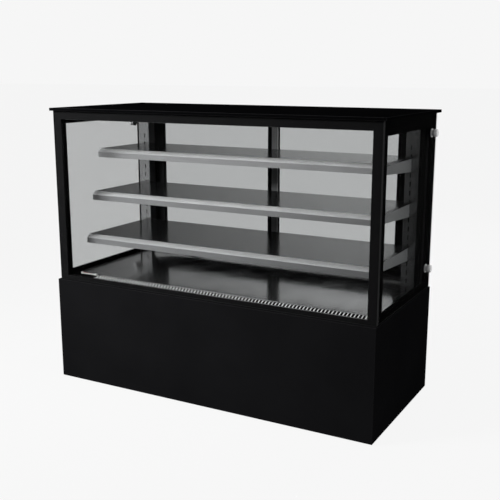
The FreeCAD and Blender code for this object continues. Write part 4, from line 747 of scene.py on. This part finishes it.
def dress_column(node):
    """Finished column: only its front face is bright; the slots and sides are painted dark as
    shade.
    """
    mesh = clean_copy(node)
    inside = mesh.faces.layers.float.new("inside")
    low, high = corners(node)
    centre = (low.x + high.x) / 2
    for face in mesh.faces:
        middle = face.calc_center_median()
        reach = (middle.x - centre) * math.copysign(1, centre)
        if face.normal.y < -0.5 and middle.y < low.y + 0.5 * MM:
            continue
        deep = abs(face.normal.x) > 0.9 and face.calc_area() > LARGE_FACE
        # Painted shade: the inner side half dark, the outer side and the slot walls nearly black.
        face[inside] = 0.5 if deep and reach < INNER_REACH else 0.93 if deep else 1.0
    round_sharp_edges(mesh, 0.4 * MM, wanted=lambda edge: edge.calc_length() > LONG_EDGE)
    piece = make_object(f"{node}_finished", mesh, "case", column_metal,
                        stands_for=(node,))
    print(node, "with", len(piece.data.polygons), "faces")


for node in ("shelf_upright_left", "shelf_upright_right"):
    dress_column(node)


# %% Bracket holes as dark discs
HOLE_DROP, HOLE_SHARES = 11.5 * MM, (0.16, 0.22, 0.80, 0.86)


def bracket_hole_shade_discs():
    """Black discs for small holes near the top edge of the outer bracket plates: each hole's dark
    is painted shade.
    """
    high = corners("shelf_brackets")[1]
    mesh = bmesh.new()
    for side in (-1, 1):
        for shelf in SHELVES:
            shelf_low, shelf_high = corners(shelf)
            for share in HOLE_SHARES:
                spot = (side * (high.x + 0.02 * MM), shelf_low.y + share * (high.y - shelf_low.y),
                        shelf_high.z - HOLE_DROP)
                bmesh.ops.create_cone(mesh, cap_ends=True, segments=16, radius1=2.6 * MM,
                                      radius2=2.4 * MM, depth=0.3 * MM,
                                      matrix=turned(spot, side * 90, "Y"))
    bmesh.ops.recalc_face_normals(mesh, faces=mesh.faces)
    make_object("bracket_hole_shade_discs", mesh, "case", ink_black)
    print("holes in", 2 * len(SHELVES), "bracket plates")


bracket_hole_shade_discs()

# %% [markdown]
# ## Deck and air grilles
# Cold air leaves a slotted strip behind the front glass and returns at the rear. Through a punched
# slot one looks into the dark, so every face of the strip below its top is marked as inside and
# painted black as shade, and a black mat under the slots, also painted shade, closes the view
# from below.

# %% Deck
finish_node("deck_pan", deck_metal, 0.4 * MM)


# %% Grille
def dress_grille():
    """Finished grille whose faces below the top are marked as inside: they are painted dark as
    shade.
    """
    mesh = clean_copy("front_air_grille", join=False)
    inside = mesh.faces.layers.float.new("inside")
    top = corners("front_air_grille")[1].z
    # Painted shade: every face but the top is marked inside and renders nearly black.
    for face in mesh.faces:
        if face.normal.z < 0.5 or face.calc_center_median().z < top - 0.5 * MM:
            face[inside] = 1.0
    piece = make_object("front_air_grille_finished", mesh, "case", grille_metal,
                        stands_for=("front_air_grille",), smooth=False)
    print("grille with", len(piece.data.polygons), "faces")


dress_grille()


# %% Shade mat and end plate
END_PLATE_RIGHT = -0.5725


def grille_shade_mat_and_end_plate():
    """Black mat under the slots as painted shade, and the black end plate that carries the
    thermometer.
    """
    low, high = corners("front_air_grille")
    # Painted shade: a black sheet under the slots, so that they read dark.
    mat = bmesh.new()
    add_block(mat, (low.x + 8 * MM, low.y + 2 * MM, low.z + 1.5 * MM),
              (high.x - 8 * MM, high.y - 2 * MM, low.z + 9 * MM))
    bmesh.ops.subdivide_edges(mat, edges=[e for e in mat.edges
                              if abs(e.verts[0].co.x - e.verts[1].co.x) > 0.5], cuts=60)
    make_object("grille_slot_shade_mat", mat, "case", mat_black, smooth=False)
    make_blocks("grille_end_plate", [((low.x + 0.5 * MM, low.y + 0.5 * MM, high.z), (
        END_PLATE_RIGHT, high.y - 0.3 * MM, high.z + 0.5 * MM))], 0.2 * MM, "case",
        mat_black)
    print("filter mat", round((high.y - low.y) / MM - 4), "mm deep")


grille_shade_mat_and_end_plate()

# %% [markdown]
# Along the slots stands a low comb that guides the cold air up behind the front glass. It is a
# steep black wedge with bright slanted bars on its face, one bar to each slot. Each bar is a cube
# that one matrix stretches along the slope, leans to the right and sets in its place.

# %% Air comb
COMB_FRONT, COMB_REAR, COMB_RISE = -0.292, -0.286, 0.0108
SLOT_FIRST, SLOT_LAST, PITCH = 143 * MM, 26 * MM, 14.8 * MM
BAR_WIDTH, BAR_THICK, LEAN, STRIP_RISE = 4.8 * MM, 0.8 * MM, 5.0 * MM, 0.4 * MM


def air_comb():
    """Black wedge, bright bars on its slope, and a dark strip in front of it."""
    low, high = corners("front_air_grille")
    left, right = low.x + SLOT_FIRST, high.x - SLOT_LAST
    slots = int((right - left) / PITCH) + 1
    wedge = bmesh.new()
    for vert in add_block(wedge, (left, COMB_FRONT, high.z), (right, COMB_REAR,
                                                             high.z + COMB_RISE)):
        if vert.co.y < (COMB_FRONT + COMB_REAR) / 2 and vert.co.z > high.z + 1 * MM:
            vert.co.z = high.z + STRIP_RISE
    round_sharp_edges(wedge, 0.2 * MM)
    make_object("air_comb_wedge", wedge, "case", mat_black)
    across = Vector((BAR_WIDTH, 0, 0))
    upward = Vector((LEAN, COMB_REAR - COMB_FRONT, COMB_RISE - 0.6 * MM))
    outward = across.cross(upward).normalized() * BAR_THICK
    shape = Matrix((across, upward, outward)).transposed().to_4x4()
    bars = bmesh.new()
    for index in range(slots + 1):
        x = left + (index + 0.5) * PITCH
        if x + (LEAN + across.x) / 2 > high.x:
            break
        middle = Vector((x, (COMB_FRONT + COMB_REAR) / 2, high.z + COMB_RISE / 2 + 0.2 * MM))
        bmesh.ops.create_cube(bars, size=1.0, matrix=Matrix.Translation(middle) @ shape)
    bmesh.ops.recalc_face_normals(bars, faces=bars.faces)
    count = len(bars.faces) // 6
    make_object("air_comb_bars", bars, "case", bar_metal, smooth=False)
    make_blocks("air_comb_strip", [((left, low.y + 0.3 * MM, high.z), (
        high.x - 0.5 * MM, COMB_FRONT, high.z + STRIP_RISE))], 0.15 * MM, "case",
        comb_grey)
    print(slots, "slots,", count, "bars,", round(upward.length / MM, 1), "mm long")


air_comb()

# %% Rear duct
finish_node("rear_air_duct", deck_metal, 0.4 * MM)

# %% [markdown]
# ## Rear frame and sliding doors
# The staff side has a sill, two jambs and two framed doors that slide past each other.

# %% Rear frame and doors
finish_node("rear_sill", door_paint, 0.8 * MM)
finish_node("rear_jambs", door_paint, 0.8 * MM)
finish_node("door_track_bottom", black_plastic, 0.3 * MM)
finish_node("door_track_top", black_plastic, 0.3 * MM)
finish_node("door_left_frame", door_paint, 0.8 * MM, body="door_left")
finish_node("door_right_frame", door_paint, 0.8 * MM, body="door_right")

# %% [markdown]
# ## Glass studs
# Four bright studs clamp the side glass to the columns. On a lathe such a stud is one bar of
# steel: here a profile line is spun round the same axis. The foot is a thin flange with a neck,
# and the cap is domed, with one turned groove.

# %% Studs
BOSS = scaled([(0, 0), (0, 17.4), (0.6, 18), (2.6, 18), (3.4, 17.2), (3.8, 12.5), (12.4, 12.5),
               (13, 12), (13, 0)])
CAP = scaled([(0, 0), (0, 15.2), (0.8, 16), (4.2, 16), (4.6, 15.4), (5.0, 16), (9.0, 16),
              (11.4, 15.2), (13.0, 12.8), (13.7, 8.5), (14, 4.0), (14, 0)])


def make_studs(node, profile, material, name, start):
    """Turned studs at both heights on both sides, in place of a node."""
    mesh = bmesh.new()
    low, high = corners(node)
    radius = max(r for _, r in profile)
    y = (low.y + high.y) / 2
    for side, axis in ((1, "X"), (-1, "-X")):
        for z in (low.z + radius, high.z - radius):
            add_turned(mesh, profile, (side * start, y, z), axis, steps=40)
    tidy(mesh)
    piece = make_object(name, mesh, "case", material, stands_for=(node,))
    print(name, "with", len(piece.data.polygons), "faces")


glass_face = corners("side_glass_panes")[1].x
make_studs("glass_stud_bosses", BOSS, dark_satin, "stud_bosses_turned", glass_face)
make_studs("glass_stud_caps", CAP, cap_metal, "stud_caps_turned", glass_face + 13 * MM)

# %% [markdown]
# ## Corner seals
# Where the front unit covers the edges of the side units, a strip of grey silicone closes the
# stack of panes. It is a plain band, so a thin block with rounded edges is enough.

# %% Corner seals
def corner_seals():
    """Two upright bands on the ends of the front glass unit."""
    low, high = corners("front_glass_panes")
    blocks = []
    for side in (-1, 1):
        near, far = sorted((side * high.x, side * (high.x + 0.6 * MM)))
        blocks.append(((near, low.y + 0.4 * MM, low.z), (far, high.y - 0.4 * MM, high.z)))
    make_blocks("corner_seals", blocks, 0.25 * MM, "case", seal_grey)
    print("two corner seals,", round((high.y - low.y) / MM, 1), "mm wide")


corner_seals()

# %% [markdown]
# ## Thermometer
# A glass tube in two white sockets lies at the left end of the grille. Inside it is a white card
# with a scale, and a red thread of spirit with its bulb. All of it is turned or cut from thin
# blocks; a glass tube needs a real wall, or it would bend light like a solid rod.

# %% Thermometer sockets and tube
gauge_low, gauge_high = corners("strip_thermometer")
gauge_y = (gauge_low.y + gauge_high.y) / 2
gauge_z = (gauge_low.z + gauge_high.z) / 2


def gauge_sockets():
    """Two white sockets with rounded ends, in place of the CAD thermometer."""
    mesh = bmesh.new()
    profile = scaled([(0, 0), (0, 4.6), (0.9, 5.5), (6.6, 5.5), (6.9, 5.2), (8, 5.2), (8, 0)])
    add_turned(mesh, profile, (gauge_low.x, gauge_y, gauge_z), "X")
    add_turned(mesh, profile, (gauge_high.x, gauge_y, gauge_z), "-X")
    tidy(mesh)
    make_object("thermometer_sockets", mesh, "case", white_plastic,
                stands_for=("strip_thermometer",))


def gauge_tube():
    """The glass tube between the sockets."""
    mesh = bmesh.new()
    length = (gauge_high.x - gauge_low.x) / MM - 16
    profile = scaled([(0, 4.3), (0, 5.0), (length, 5.0), (length, 4.3), (0, 4.3)])
    add_turned(mesh, profile, (gauge_low.x + 8 * MM, gauge_y, gauge_z), "X", steps=24)
    tidy(mesh)
    make_object("thermometer_tube", mesh, "case", tube_glass)
    return length


gauge_sockets()
tube_length = gauge_tube()
print("thermometer tube of", round(tube_length, 1), "mm")

# %% Thermometer card, scale and spirit
def gauge_card():
    """White card in the tube, with a scale of ticks and a red thread."""
    left = gauge_low.x + 9 * MM
    right = gauge_high.x - 9 * MM
    card = bmesh.new()
    add_turned(card, [(0, 0), (0, 3.9 * MM), (right - left, 3.9 * MM), (right - left, 0)],
               (left, gauge_y, gauge_z), "X", steps=24)
    tidy(card)
    bmesh.ops.bisect_plane(card, geom=card.verts[:] + card.edges[:] + card.faces[:],
                           plane_co=(0, 0, gauge_z + 1.2 * MM), plane_no=(0, 0, 1),
                           clear_outer=True)
    bmesh.ops.holes_fill(card, edges=[e for e in card.edges if e.is_boundary])
    bmesh.ops.recalc_face_normals(card, faces=card.faces)
    make_object("thermometer_card", card, "case", white_plastic)
    ticks = bmesh.new()
    count = int((right - left) / (2 * MM))
    for index in range(1, count):
        x = left + index * 2 * MM
        reach = 2.4 if index % 5 == 0 else 1.4
        add_block(ticks, (x - 0.15 * MM, gauge_y - 3.2 * MM, gauge_z + 1.2 * MM),
                  (x + 0.15 * MM, gauge_y + (reach - 3.2) * MM, gauge_z + 1.25 * MM))
    make_object("thermometer_scale", ticks, "case", ink_black, smooth=False)
    thread = bmesh.new()
    add_turned(thread, scaled([(0, 0), (0.4, 0.8), (1.6, 1.1), (2.8, 0.8), (3.4, 0.3),
                               (44, 0.3), (44.3, 0)]),
               (left + 3 * MM, gauge_y + 0.8 * MM, gauge_z + 1.6 * MM), "X", steps=12)
    tidy(thread)
    make_object("thermometer_spirit", thread, "case", spirit_red)
    print(count - 1, "ticks on the scale")


gauge_card()

# %% [markdown]
# ## Door glazing, pulls and brushes
# A rubber bead holds each door pane on both faces. The pull is a pressed steel cup let into the
# stile. Between the doors a strip of pile stops the cold air; it is a block here, because its
# hairs are finer than anything the eye can follow.

# %% Glazing beads
BEAD_GRIP, BEAD_SET, BEAD_WIDTH = 8 * MM, 1.2 * MM, 4 * MM


def glazing_beads(side):
    """Beads round one door pane, inside and outside."""
    frame_low, frame_high = corners(f"door_{side}_frame")
    pane_low, pane_high = corners(f"door_{side}_pane")
    mesh = bmesh.new()
    for near, far in ((pane_high.y, frame_high.y - BEAD_SET),
                      (frame_low.y + BEAD_SET, pane_low.y)):
        add_ring_frame(mesh, (pane_low.x + BEAD_GRIP, near, pane_low.z + BEAD_GRIP),
                       (pane_high.x - BEAD_GRIP, far, pane_high.z - BEAD_GRIP), BEAD_WIDTH)
    round_sharp_edges(mesh, 0.5 * MM)
    make_object(f"door_{side}_glazing_beads", mesh, f"door_{side}", rubber)


for side in ("left", "right"):
    glazing_beads(side)
print("beads round both door panes")

# %% Pane borders
PANE_LAP, BORDER = 7 * MM, 17 * MM


def pane_border(side):
    """Black print on the pane beside the outer stile."""
    low, high = corners(f"door_{side}_pane")
    near = low.x + PANE_LAP if side == "left" else high.x - BORDER - PANE_LAP
    make_blocks(f"door_{side}_pane_border", [(
        (near, low.y - 0.3 * MM, low.z + BEAD_GRIP), (near + BORDER, low.y, high.z - BEAD_GRIP))],
        0.1 * MM, f"door_{side}", print_black)


pane_border("left")
pane_border("right")
print("printed borders on both door panes")

# %% Pull cups
RECESS_INSET, RECESS_WIDTH, RECESS_FOOT, RECESS_HEIGHT = 6 * MM, 22 * MM, 0.770, 130 * MM
FLANGE, CUP_DEPTH = 2.4 * MM, 9.0 * MM


def pull_cup(side):
    """A pressed cup: a flange on the stile, sunk into the recess, in thin sheet."""
    low, high = corners(f"door_{side}_frame")
    inset = RECESS_INSET
    start = low.x + inset if side == "left" else high.x - inset - RECESS_WIDTH
    mesh = bmesh.new()
    face = add_plate(mesh, (start - FLANGE, RECESS_FOOT - FLANGE),
                     (start + RECESS_WIDTH + FLANGE, RECESS_FOOT + RECESS_HEIGHT + FLANGE),
                     high.y + 0.6 * MM)
    bmesh.ops.inset_individual(mesh, faces=[face], thickness=FLANGE + 0.6 * MM,
                               use_even_offset=True)
    sunk = bmesh.ops.extrude_discrete_faces(mesh, faces=[face])["faces"]
    bmesh.ops.translate(mesh, verts=list({v for part in sunk for v in part.verts}),
                        vec=(0, -CUP_DEPTH, 0))
    mesh.normal_update()
    folds = [edge for edge in mesh.edges if len(edge.link_faces) == 2
             and edge.calc_face_angle(0) > SHARP]
    bmesh.ops.bevel(mesh, geom=folds, offset=1.0 * MM, segments=3, profile=0.5,
                    affect="EDGES", material=-1)
    cup = make_object(f"door_{side}_pull_cup", mesh, f"door_{side}", stainless)
    wall = cup.modifiers.new("sheet", "SOLIDIFY")
    wall.thickness = 0.5 * MM
    wall.offset = -1.0


for side in ("left", "right"):
    pull_cup(side)
print("two pull cups")

# %% Brush seals and cover strips
def brush_strip(name, body, x, low, high, facing):
    """Carrier and pile of one brush seal on a meeting stile."""
    tip = high.y if facing > 0 else low.y
    foot, top = low.z + 20 * MM, high.z - 20 * MM
    near, far = sorted((tip, tip + facing * 2 * MM))
    make_blocks(f"{name}_carrier", [((x - 4 * MM, near, foot), (x + 4 * MM, far, top))],
                0.4 * MM, body, fin_metal)
    near, far = sorted((tip + facing * 2 * MM, tip + facing * 6.6 * MM))
    pile = bmesh.new()
    add_block(pile, (x - 2 * MM, near, foot), (x + 2 * MM, far, top))
    bmesh.ops.subdivide_edges(pile, edges=[e for e in pile.edges
                              if abs(e.verts[0].co.z - e.verts[1].co.z) > 0.1], cuts=120)
    make_object(f"{name}_pile", pile, body, pile_grey, smooth=False)


def cover_strip(name, start, end, material):
    """A thin upright strip on the room face of the left door's meeting stile."""
    low, high = corners("door_left_frame")
    make_blocks(name, [((high.x - end * MM, low.y - 0.7 * MM, low.z + 1 * MM),
                        (high.x - start * MM, low.y, high.z - 1 * MM))],
                0.3 * MM, "door_left", material)


left_low, left_high = corners("door_left_frame")
right_low, right_high = corners("door_right_frame")
brush_strip("brush_left", "door_left", left_high.x - 8 * MM, left_low, left_high, 1)
brush_strip("brush_right", "door_right", right_low.x + 8 * MM, right_low, right_high, -1)
cover_strip("stile_cover_wide", 9.0, 33.8, stile_grey)
cover_strip("stile_cover_narrow", 0.3, 7.6, stile_light)
print("brush seals in a gap of", round((right_low.y - left_high.y) / MM, 1), "mm")

# %% [markdown]
# ## Screws
# Pan-head screws hold the rear panel and the control plate. A screw head is turned: a low dome
# with a round socket. The profile is spun once for each screw, with few steps, because there
# are many of them.

# %% Screws
PAN_HEAD = scaled([(0, 0), (0, 4.0), (0.5, 4.2), (1.2, 3.9), (1.7, 3.0), (1.9, 1.9),
                   (1.9, 1.5), (0.8, 1.4), (0.7, 0)])


def add_screws(name, places, y):
    """Pan-head screws that look to the rear."""
    mesh = bmesh.new()
    for x, z in places:
        add_turned(mesh, PAN_HEAD, (x, y, z), "Y", steps=20)
    tidy(mesh)
    make_object(name, mesh, "case", stainless)
    print(name, len(places), "screws")


PANEL_SIDES, SIDE_ROWS = (-0.725, 0.725), (0.022, 0.155, 0.300, 0.435)
PANEL_MIDDLE, END_ROWS, PLATE_MARGIN = (-0.36, 0.0, 0.36), (0.018, 0.442), 7 * MM
plate_low, plate_high = corners("control_plate")
add_screws("rear_panel_screws", [(x, z) for x in PANEL_SIDES for z in SIDE_ROWS]
           + [(x, z) for x in PANEL_MIDDLE for z in END_ROWS], plate_low.y)
add_screws("control_plate_screws", [
    (x, z) for x in (plate_low.x + PLATE_MARGIN, plate_high.x - PLATE_MARGIN)
    for z in (plate_low.z + PLATE_MARGIN, plate_high.z - PLATE_MARGIN)], plate_high.y - 2 * MM)

# %% [markdown]
# ## Controls
# The controller is a small panel instrument: a bezel, a smoked window with red digits, and three
# small white keys. Seven-segment digits are bars, so each one is built from blocks. From behind
# the case, the reader's right is towards -X.

# %% Controller and plate
finish_node("control_plate", black_plastic, 0.8 * MM, segments=3)
finish_node("temperature_controller", black_plastic, 0.5 * MM)
for key in ("set", "up", "down"):
    finish_node(f"controller_key_{key}", white_plastic, 0.4 * MM, body=f"{key}_key")
finish_node("cable_gland", black_plastic, 0.6 * MM)
finish_node("electrical_box", zinc, 0.8 * MM)

# %% Window and digits
SEGMENTS = {"3": "abgcd", "5": "afgcd"}


def add_digit(mesh, letters, right, foot, y):
    """Bars of a seven-segment digit, drawn towards -X."""
    wide, tall, bar = 7 * MM, 13 * MM, 1.3 * MM
    half = tall / 2
    spots = {"a": (0, tall - bar, wide, tall), "g": (0, half - bar / 2, wide, half + bar / 2),
             "d": (0, 0, wide, bar), "f": (0, half, bar, tall),
             "b": (wide - bar, half, wide, tall), "c": (wide - bar, 0, wide, half)}
    for letter in letters:
        x0, z0, x1, z1 = spots[letter]
        add_block(mesh, (right - x1 + 0.2 * MM, y, foot + z0 + 0.2 * MM),
                  (right - x0 - 0.2 * MM, y + 0.15 * MM, foot + z1 - 0.2 * MM))


def controller_window():
    """Smoked window with the temperature in red."""
    low, high = corners("temperature_controller")
    face = high.y - 1.0 * MM
    make_blocks("controller_window", [((low.x + 11 * MM, face, low.z + 8 * MM), (
        high.x - 20 * MM, face + 0.5 * MM, high.z - 7 * MM))], 0.2 * MM, "case",
        screen_dark)
    digits = bmesh.new()
    foot, start = low.z + 11 * MM, high.x - 26 * MM
    for index, figure in enumerate("35"):
        add_digit(digits, SEGMENTS[figure], start - index * 12 * MM, foot, face + 0.5 * MM)
    add_block(digits, (start - 9.9 * MM, face + 0.5 * MM, foot),
              (start - 8.6 * MM, face + 0.65 * MM, foot + 1.3 * MM))
    make_object("controller_digits", digits, "case", digit_red, smooth=False)
    print("window between", round(face / MM, 1), "and", round(face / MM + 0.65, 2), "mm")


controller_window()

# %% Marks on keys and rockers
def key_mark(key, turn, sides):
    """A flat dark mark in the middle of a key."""
    low, high = corners(f"controller_key_{key}")
    middle = (low + high) / 2
    mesh = bmesh.new()
    place = (turned((middle.x, high.y, middle.z), turn, "Y")
             @ Matrix.Rotation(math.radians(-90), 4, "X"))
    face = bmesh.ops.create_circle(mesh, cap_ends=True, radius=1.7 * MM, segments=sides,
                                   matrix=place)["verts"][0].link_faces[0]
    grown = bmesh.ops.extrude_face_region(mesh, geom=[face])["geom"]
    bmesh.ops.translate(mesh, verts=[v for v in grown if isinstance(v, bmesh.types.BMVert)],
                        vec=(0, 0.12 * MM, 0))
    bmesh.ops.recalc_face_normals(mesh, faces=mesh.faces)
    make_object(f"key_mark_{key}", mesh, f"{key}_key", ink_black, smooth=False)


key_mark("up", 0, 3)
key_mark("down", 180, 3)
key_mark("set", 45, 4)


def dress_rocker(node, body):
    """Rounded rocker with I on one half and O on the other."""
    finish_node(node, black_plastic, 0.6 * MM, body=body)
    mesh = clean_copy(node)
    halves = sorted((f for f in mesh.faces if f.normal.y > 0.6), key=lambda f: -f.calc_area())
    upper, lower = sorted(halves[:2], key=lambda f: -f.calc_center_median().z)
    marks = bmesh.new()
    for face, kind in ((upper, "bar"), (lower, "ring")):
        turn = Vector((0, 0, 1)).rotation_difference(face.normal).to_matrix().to_4x4()
        place = Matrix.Translation(face.calc_center_median()) @ turn
        if kind == "bar":
            bmesh.ops.create_cube(marks, size=1.0, matrix=place @ Matrix.Diagonal(
                (0.8 * MM, 3.4 * MM, 0.24 * MM, 1.0)))
        else:
            disc = bmesh.ops.create_circle(marks, cap_ends=True, radius=1.7 * MM, segments=20,
                                           matrix=place @ Matrix.Translation((0, 0, 0.12 * MM)))
            ring = disc["verts"][0].link_faces[0]
            bmesh.ops.inset_individual(marks, faces=[ring], thickness=0.6 * MM)
            bmesh.ops.delete(marks, geom=[ring], context="FACES_ONLY")
    mesh.free()
    make_object(f"{node}_marks", marks, body, white_plastic, smooth=False)


dress_rocker("power_switch", "power_rocker")
dress_rocker("light_switch", "light_rocker")
print("marks on keys and rockers")

# %% [markdown]
# ## Light strip
# The lamp under the canopy is a row of small diodes behind an opal cover. The cover glows; the
# end caps that close its channel are moulded.

# %% Light strip
def strip_caps():
    """End caps of the light channel."""
    low, high = corners("light_channel")
    make_blocks("light_channel_caps", [
        ((near, low.y, low.z), (far, high.y, high.z))
        for near, far in ((low.x - 3 * MM, low.x), (high.x, high.x + 3 * MM))],
        0.6 * MM, "case", white_plastic)
    print("light strip of", round((high.x - low.x) / MM), "mm")


strip_caps()

# %% [markdown]
# ## Machine space
# Behind the louvres sit the condenser, its fan and the compressor. A wire guard covers the fan:
# rings of round wire, tied by four spokes. A ring is a small circle spun round the fan's axis.

# %% Fan guard
def fan_guard():
    """Rings and spokes of a wire guard in front of the condenser fan."""
    low, high = corners("condenser_fan")
    centre = (low + high) / 2
    y = corners("condenser_shroud")[0].y - 2.2 * MM
    mesh = bmesh.new()
    for radius in (46, 60, 74, 88, 102):
        spin_wire(mesh, 1.0 * MM, 8, Matrix.Translation((centre.x + radius * MM, y, centre.z)),
                  (centre.x, y, centre.z), (0, 1, 0), math.tau, 48)
    for turn in (45, 135, 225, 315):
        spoke = (turned((centre.x, y, centre.z), turn, "Y")
                 @ turned((75 * MM, 1.6 * MM, 0), 90, "Y"))
        bmesh.ops.create_cone(mesh, cap_ends=True, segments=8, radius1=1.2 * MM,
                              radius2=1.2 * MM, depth=60 * MM, matrix=spoke)
    tidy(mesh)
    make_object("condenser_fan_guard", mesh, "case", stainless)
    print("guard at y", round(y / MM, 1))


fan_guard()

# %% Coil bends
BEND_PITCH, BEND_FOOT, BEND_RADIUS = 25 * MM, 22 * MM, 11 * MM


def coil_bends():
    """Copper return bends on both ends of the condenser: half rings of tube."""
    low, high = corners("condenser_coil")
    mesh = bmesh.new()
    rows = int((high.z - low.z - 20 * MM) / BEND_PITCH)
    middle = (low.y + high.y) / 2
    for side, x in ((-1, low.x), (1, high.x)):
        for row in range(rows):
            z = low.z + BEND_FOOT + row * BEND_PITCH
            spin_wire(mesh, 4.0 * MM, 10, turned((x, middle - BEND_RADIUS, z), 90, "Y"),
                      (x, middle, z), (0, 0, side), math.pi, 10)
    tidy(mesh)
    make_object("condenser_return_bends", mesh, "case", copper)
    print(2 * rows, "return bends")


coil_bends()

# %% Compressor and feet
finish_node("compressor", enamel, 1.5 * MM, segments=3)
finish_node("levelling_feet", rubber, 0.8 * MM)

# %% [markdown]
# ## Camera
# The case is seen from the customer's right, a little from above, with a short telephoto lens.

# %% Camera
camera_data = bpy.data.cameras.new("camera")
camera_data.lens = 58.4
camera_data.sensor_width = 36.0
camera_data.clip_end = 100.0
camera = bpy.data.objects.new("camera", camera_data)
camera.location = (1.6776, -2.976, 1.3564)
camera.rotation_euler = (math.radians(90 - 12.51), 0.0, math.radians(28.78))
bpy.context.scene.collection.objects.link(camera)
bpy.context.scene.camera = camera
print("camera at", tuple(round(v, 3) for v in camera.location))

# %% [markdown]
# ## Floor, light and view
# A pale floor and a pale surround keep the outline of a black object easy to read. The world
# shows its pale colour to the camera, to mirror rays and through glass, and lights the case at a
# plain level for everything else, so that a colour renders about as it is written. What a metal
# mirrors follows the studio tone instead: bright towards a soft box at the front left and a wall
# at the rear, and dark elsewhere, which gives sheet metal its contrast.

# %% Studio tone
PALE, PLAIN = 0.922, 0.30


def build_studio_tone():
    """How bright the studio is in a direction: a soft box front left, and a pale rear wall."""
    group, start, end = new_group("studio_tone", [("Vector", VECTOR, None)], [("Value", FLOAT)])
    level = add_node(group, "ShaderNodeVectorMath", {
        0: start.outputs["Vector"], 1: (1.0, 1.0, 0.0)}, operation="MULTIPLY")
    level = add_node(group, "ShaderNodeVectorMath", {0: level.outputs[0]}, operation="NORMALIZE")
    to_box = add_node(group, "ShaderNodeVectorMath", {
        0: level.outputs[0], 1: (-0.707, -0.707, 0.0)}, operation="DOT_PRODUCT")
    to_wall = add_node(group, "ShaderNodeVectorMath", {
        0: level.outputs[0], 1: (0.27, 0.963, 0.0)}, operation="DOT_PRODUCT")
    box = remap(group, to_box.outputs["Value"], 0.88, 0.97, 0.015, 1.0)
    wall = remap(group, to_wall.outputs["Value"], 0.50, 0.80, 0.03, 1.0)
    group.links.new(maths(group, "MAXIMUM", box, wall), end.inputs["Value"])
    return group


tone_group = build_studio_tone()
print("group", tone_group.name, "with", len(tone_group.nodes), "nodes")


def mirror_tone(tree, vector, path):
    """1, but the tone of the studio for light that a metal mirrors, also through glass."""
    tone = use_group(tree, tone_group, {"Vector": vector})
    return remap(tree, path.outputs["Glossy Depth"], 0.0, 1.0, 1.0, tone.outputs["Value"])


# %% World
def light_world():
    """Pale to look at, plain as a light."""
    world = bpy.data.worlds.new("studio")
    bpy.context.scene.world = world
    world.use_nodes = True
    tree = world.node_tree
    glow = tree.nodes["Background"]
    glow.inputs["Color"].default_value = (1, 1, 1, 1)
    path = tree.nodes.new("ShaderNodeLightPath")
    around = tree.nodes.new("ShaderNodeTexCoord")
    seen = rays(tree, path, "Camera", "Glossy", "Transmission")
    level = remap(tree, seen, 0.0, 1.0, PLAIN, PALE)
    tone = mirror_tone(tree, around.outputs["Generated"], path)
    tree.links.new(maths(tree, "MULTIPLY", level, tone), glow.inputs["Strength"])
    print("world lights at", PLAIN, "and looks", PALE)


light_world()


# %% Floor
def make_floor():
    """A wide pale floor that keeps the shadow of the case."""
    material, tree, shader, place = new_material("pale_floor", Specular_IOR_Level=0.0,
                                                 Roughness=1.0)
    feed(tree, shader, Base_Color=blend_colours(
        tree, clouds(tree, place, 0.7), (0.25, 0.25, 0.25), (0.27, 0.27, 0.27)))
    path = tree.nodes.new("ShaderNodeLightPath")
    glow = add_node(tree, "ShaderNodeEmission", {
        "Color": (1, 1, 1, 1), "Strength": mirror_tone(tree, place, path)})
    seen = rays(tree, path, "Camera", "Glossy", "Transmission")
    mix_surface(tree, remap(tree, seen, 0.0, 1.0, 0.0, 0.9), shader.outputs["BSDF"],
                glow.outputs["Emission"])
    mesh = bmesh.new()
    bmesh.ops.create_grid(mesh, x_segments=1, y_segments=1, size=60.0)
    data = bpy.data.meshes.new("floor")
    mesh.to_mesh(data)
    mesh.free()
    data.materials.append(material)
    floor = bpy.data.objects.new("floor", data)
    bpy.context.scene.collection.objects.link(floor)
    print("floor of", round(floor.dimensions.x), "m")


make_floor()


# %% Lamps
def soft_lamp(name, place, aim, size, power, depth=None, spread=180):
    """A wide lamp that points at a spot."""
    lamp_data = bpy.data.lights.new(name, "AREA")
    lamp_data.shape = "RECTANGLE"
    lamp_data.size = size
    lamp_data.size_y = depth or size
    lamp_data.energy = power
    lamp_data.spread = math.radians(spread)
    lamp = bpy.data.objects.new(name, lamp_data)
    lamp.location = place
    direction = Vector(aim) - Vector(place)
    lamp.rotation_euler = direction.to_track_quat("-Z", "Y").to_euler()
    lamp.visible_camera = False
    lamp.visible_glossy = False
    lamp.visible_transmission = False
    bpy.context.scene.collection.objects.link(lamp)


soft_lamp("key_lamp", (-2.1, -2.5, 2.3), (-0.6, -0.3, 1.0), 1.2, 62, spread=80)
soft_lamp("rear_lamp", (0.5, 3.4, 2.8), (0, 0, 0.8), 2.4, 60)
soft_lamp("case_lamp", (0, -0.285, 1.149), (0, -0.2, 0.5), 1.3, 2.2, depth=0.016)
soft_lamp("side_lamp", (3.2, -0.9, 1.7), (0.7, 0, 0.7), 1.2, 26)
bpy.context.scene.view_settings.view_transform = "Standard"
print(len(bpy.data.lights), "soft lamps")
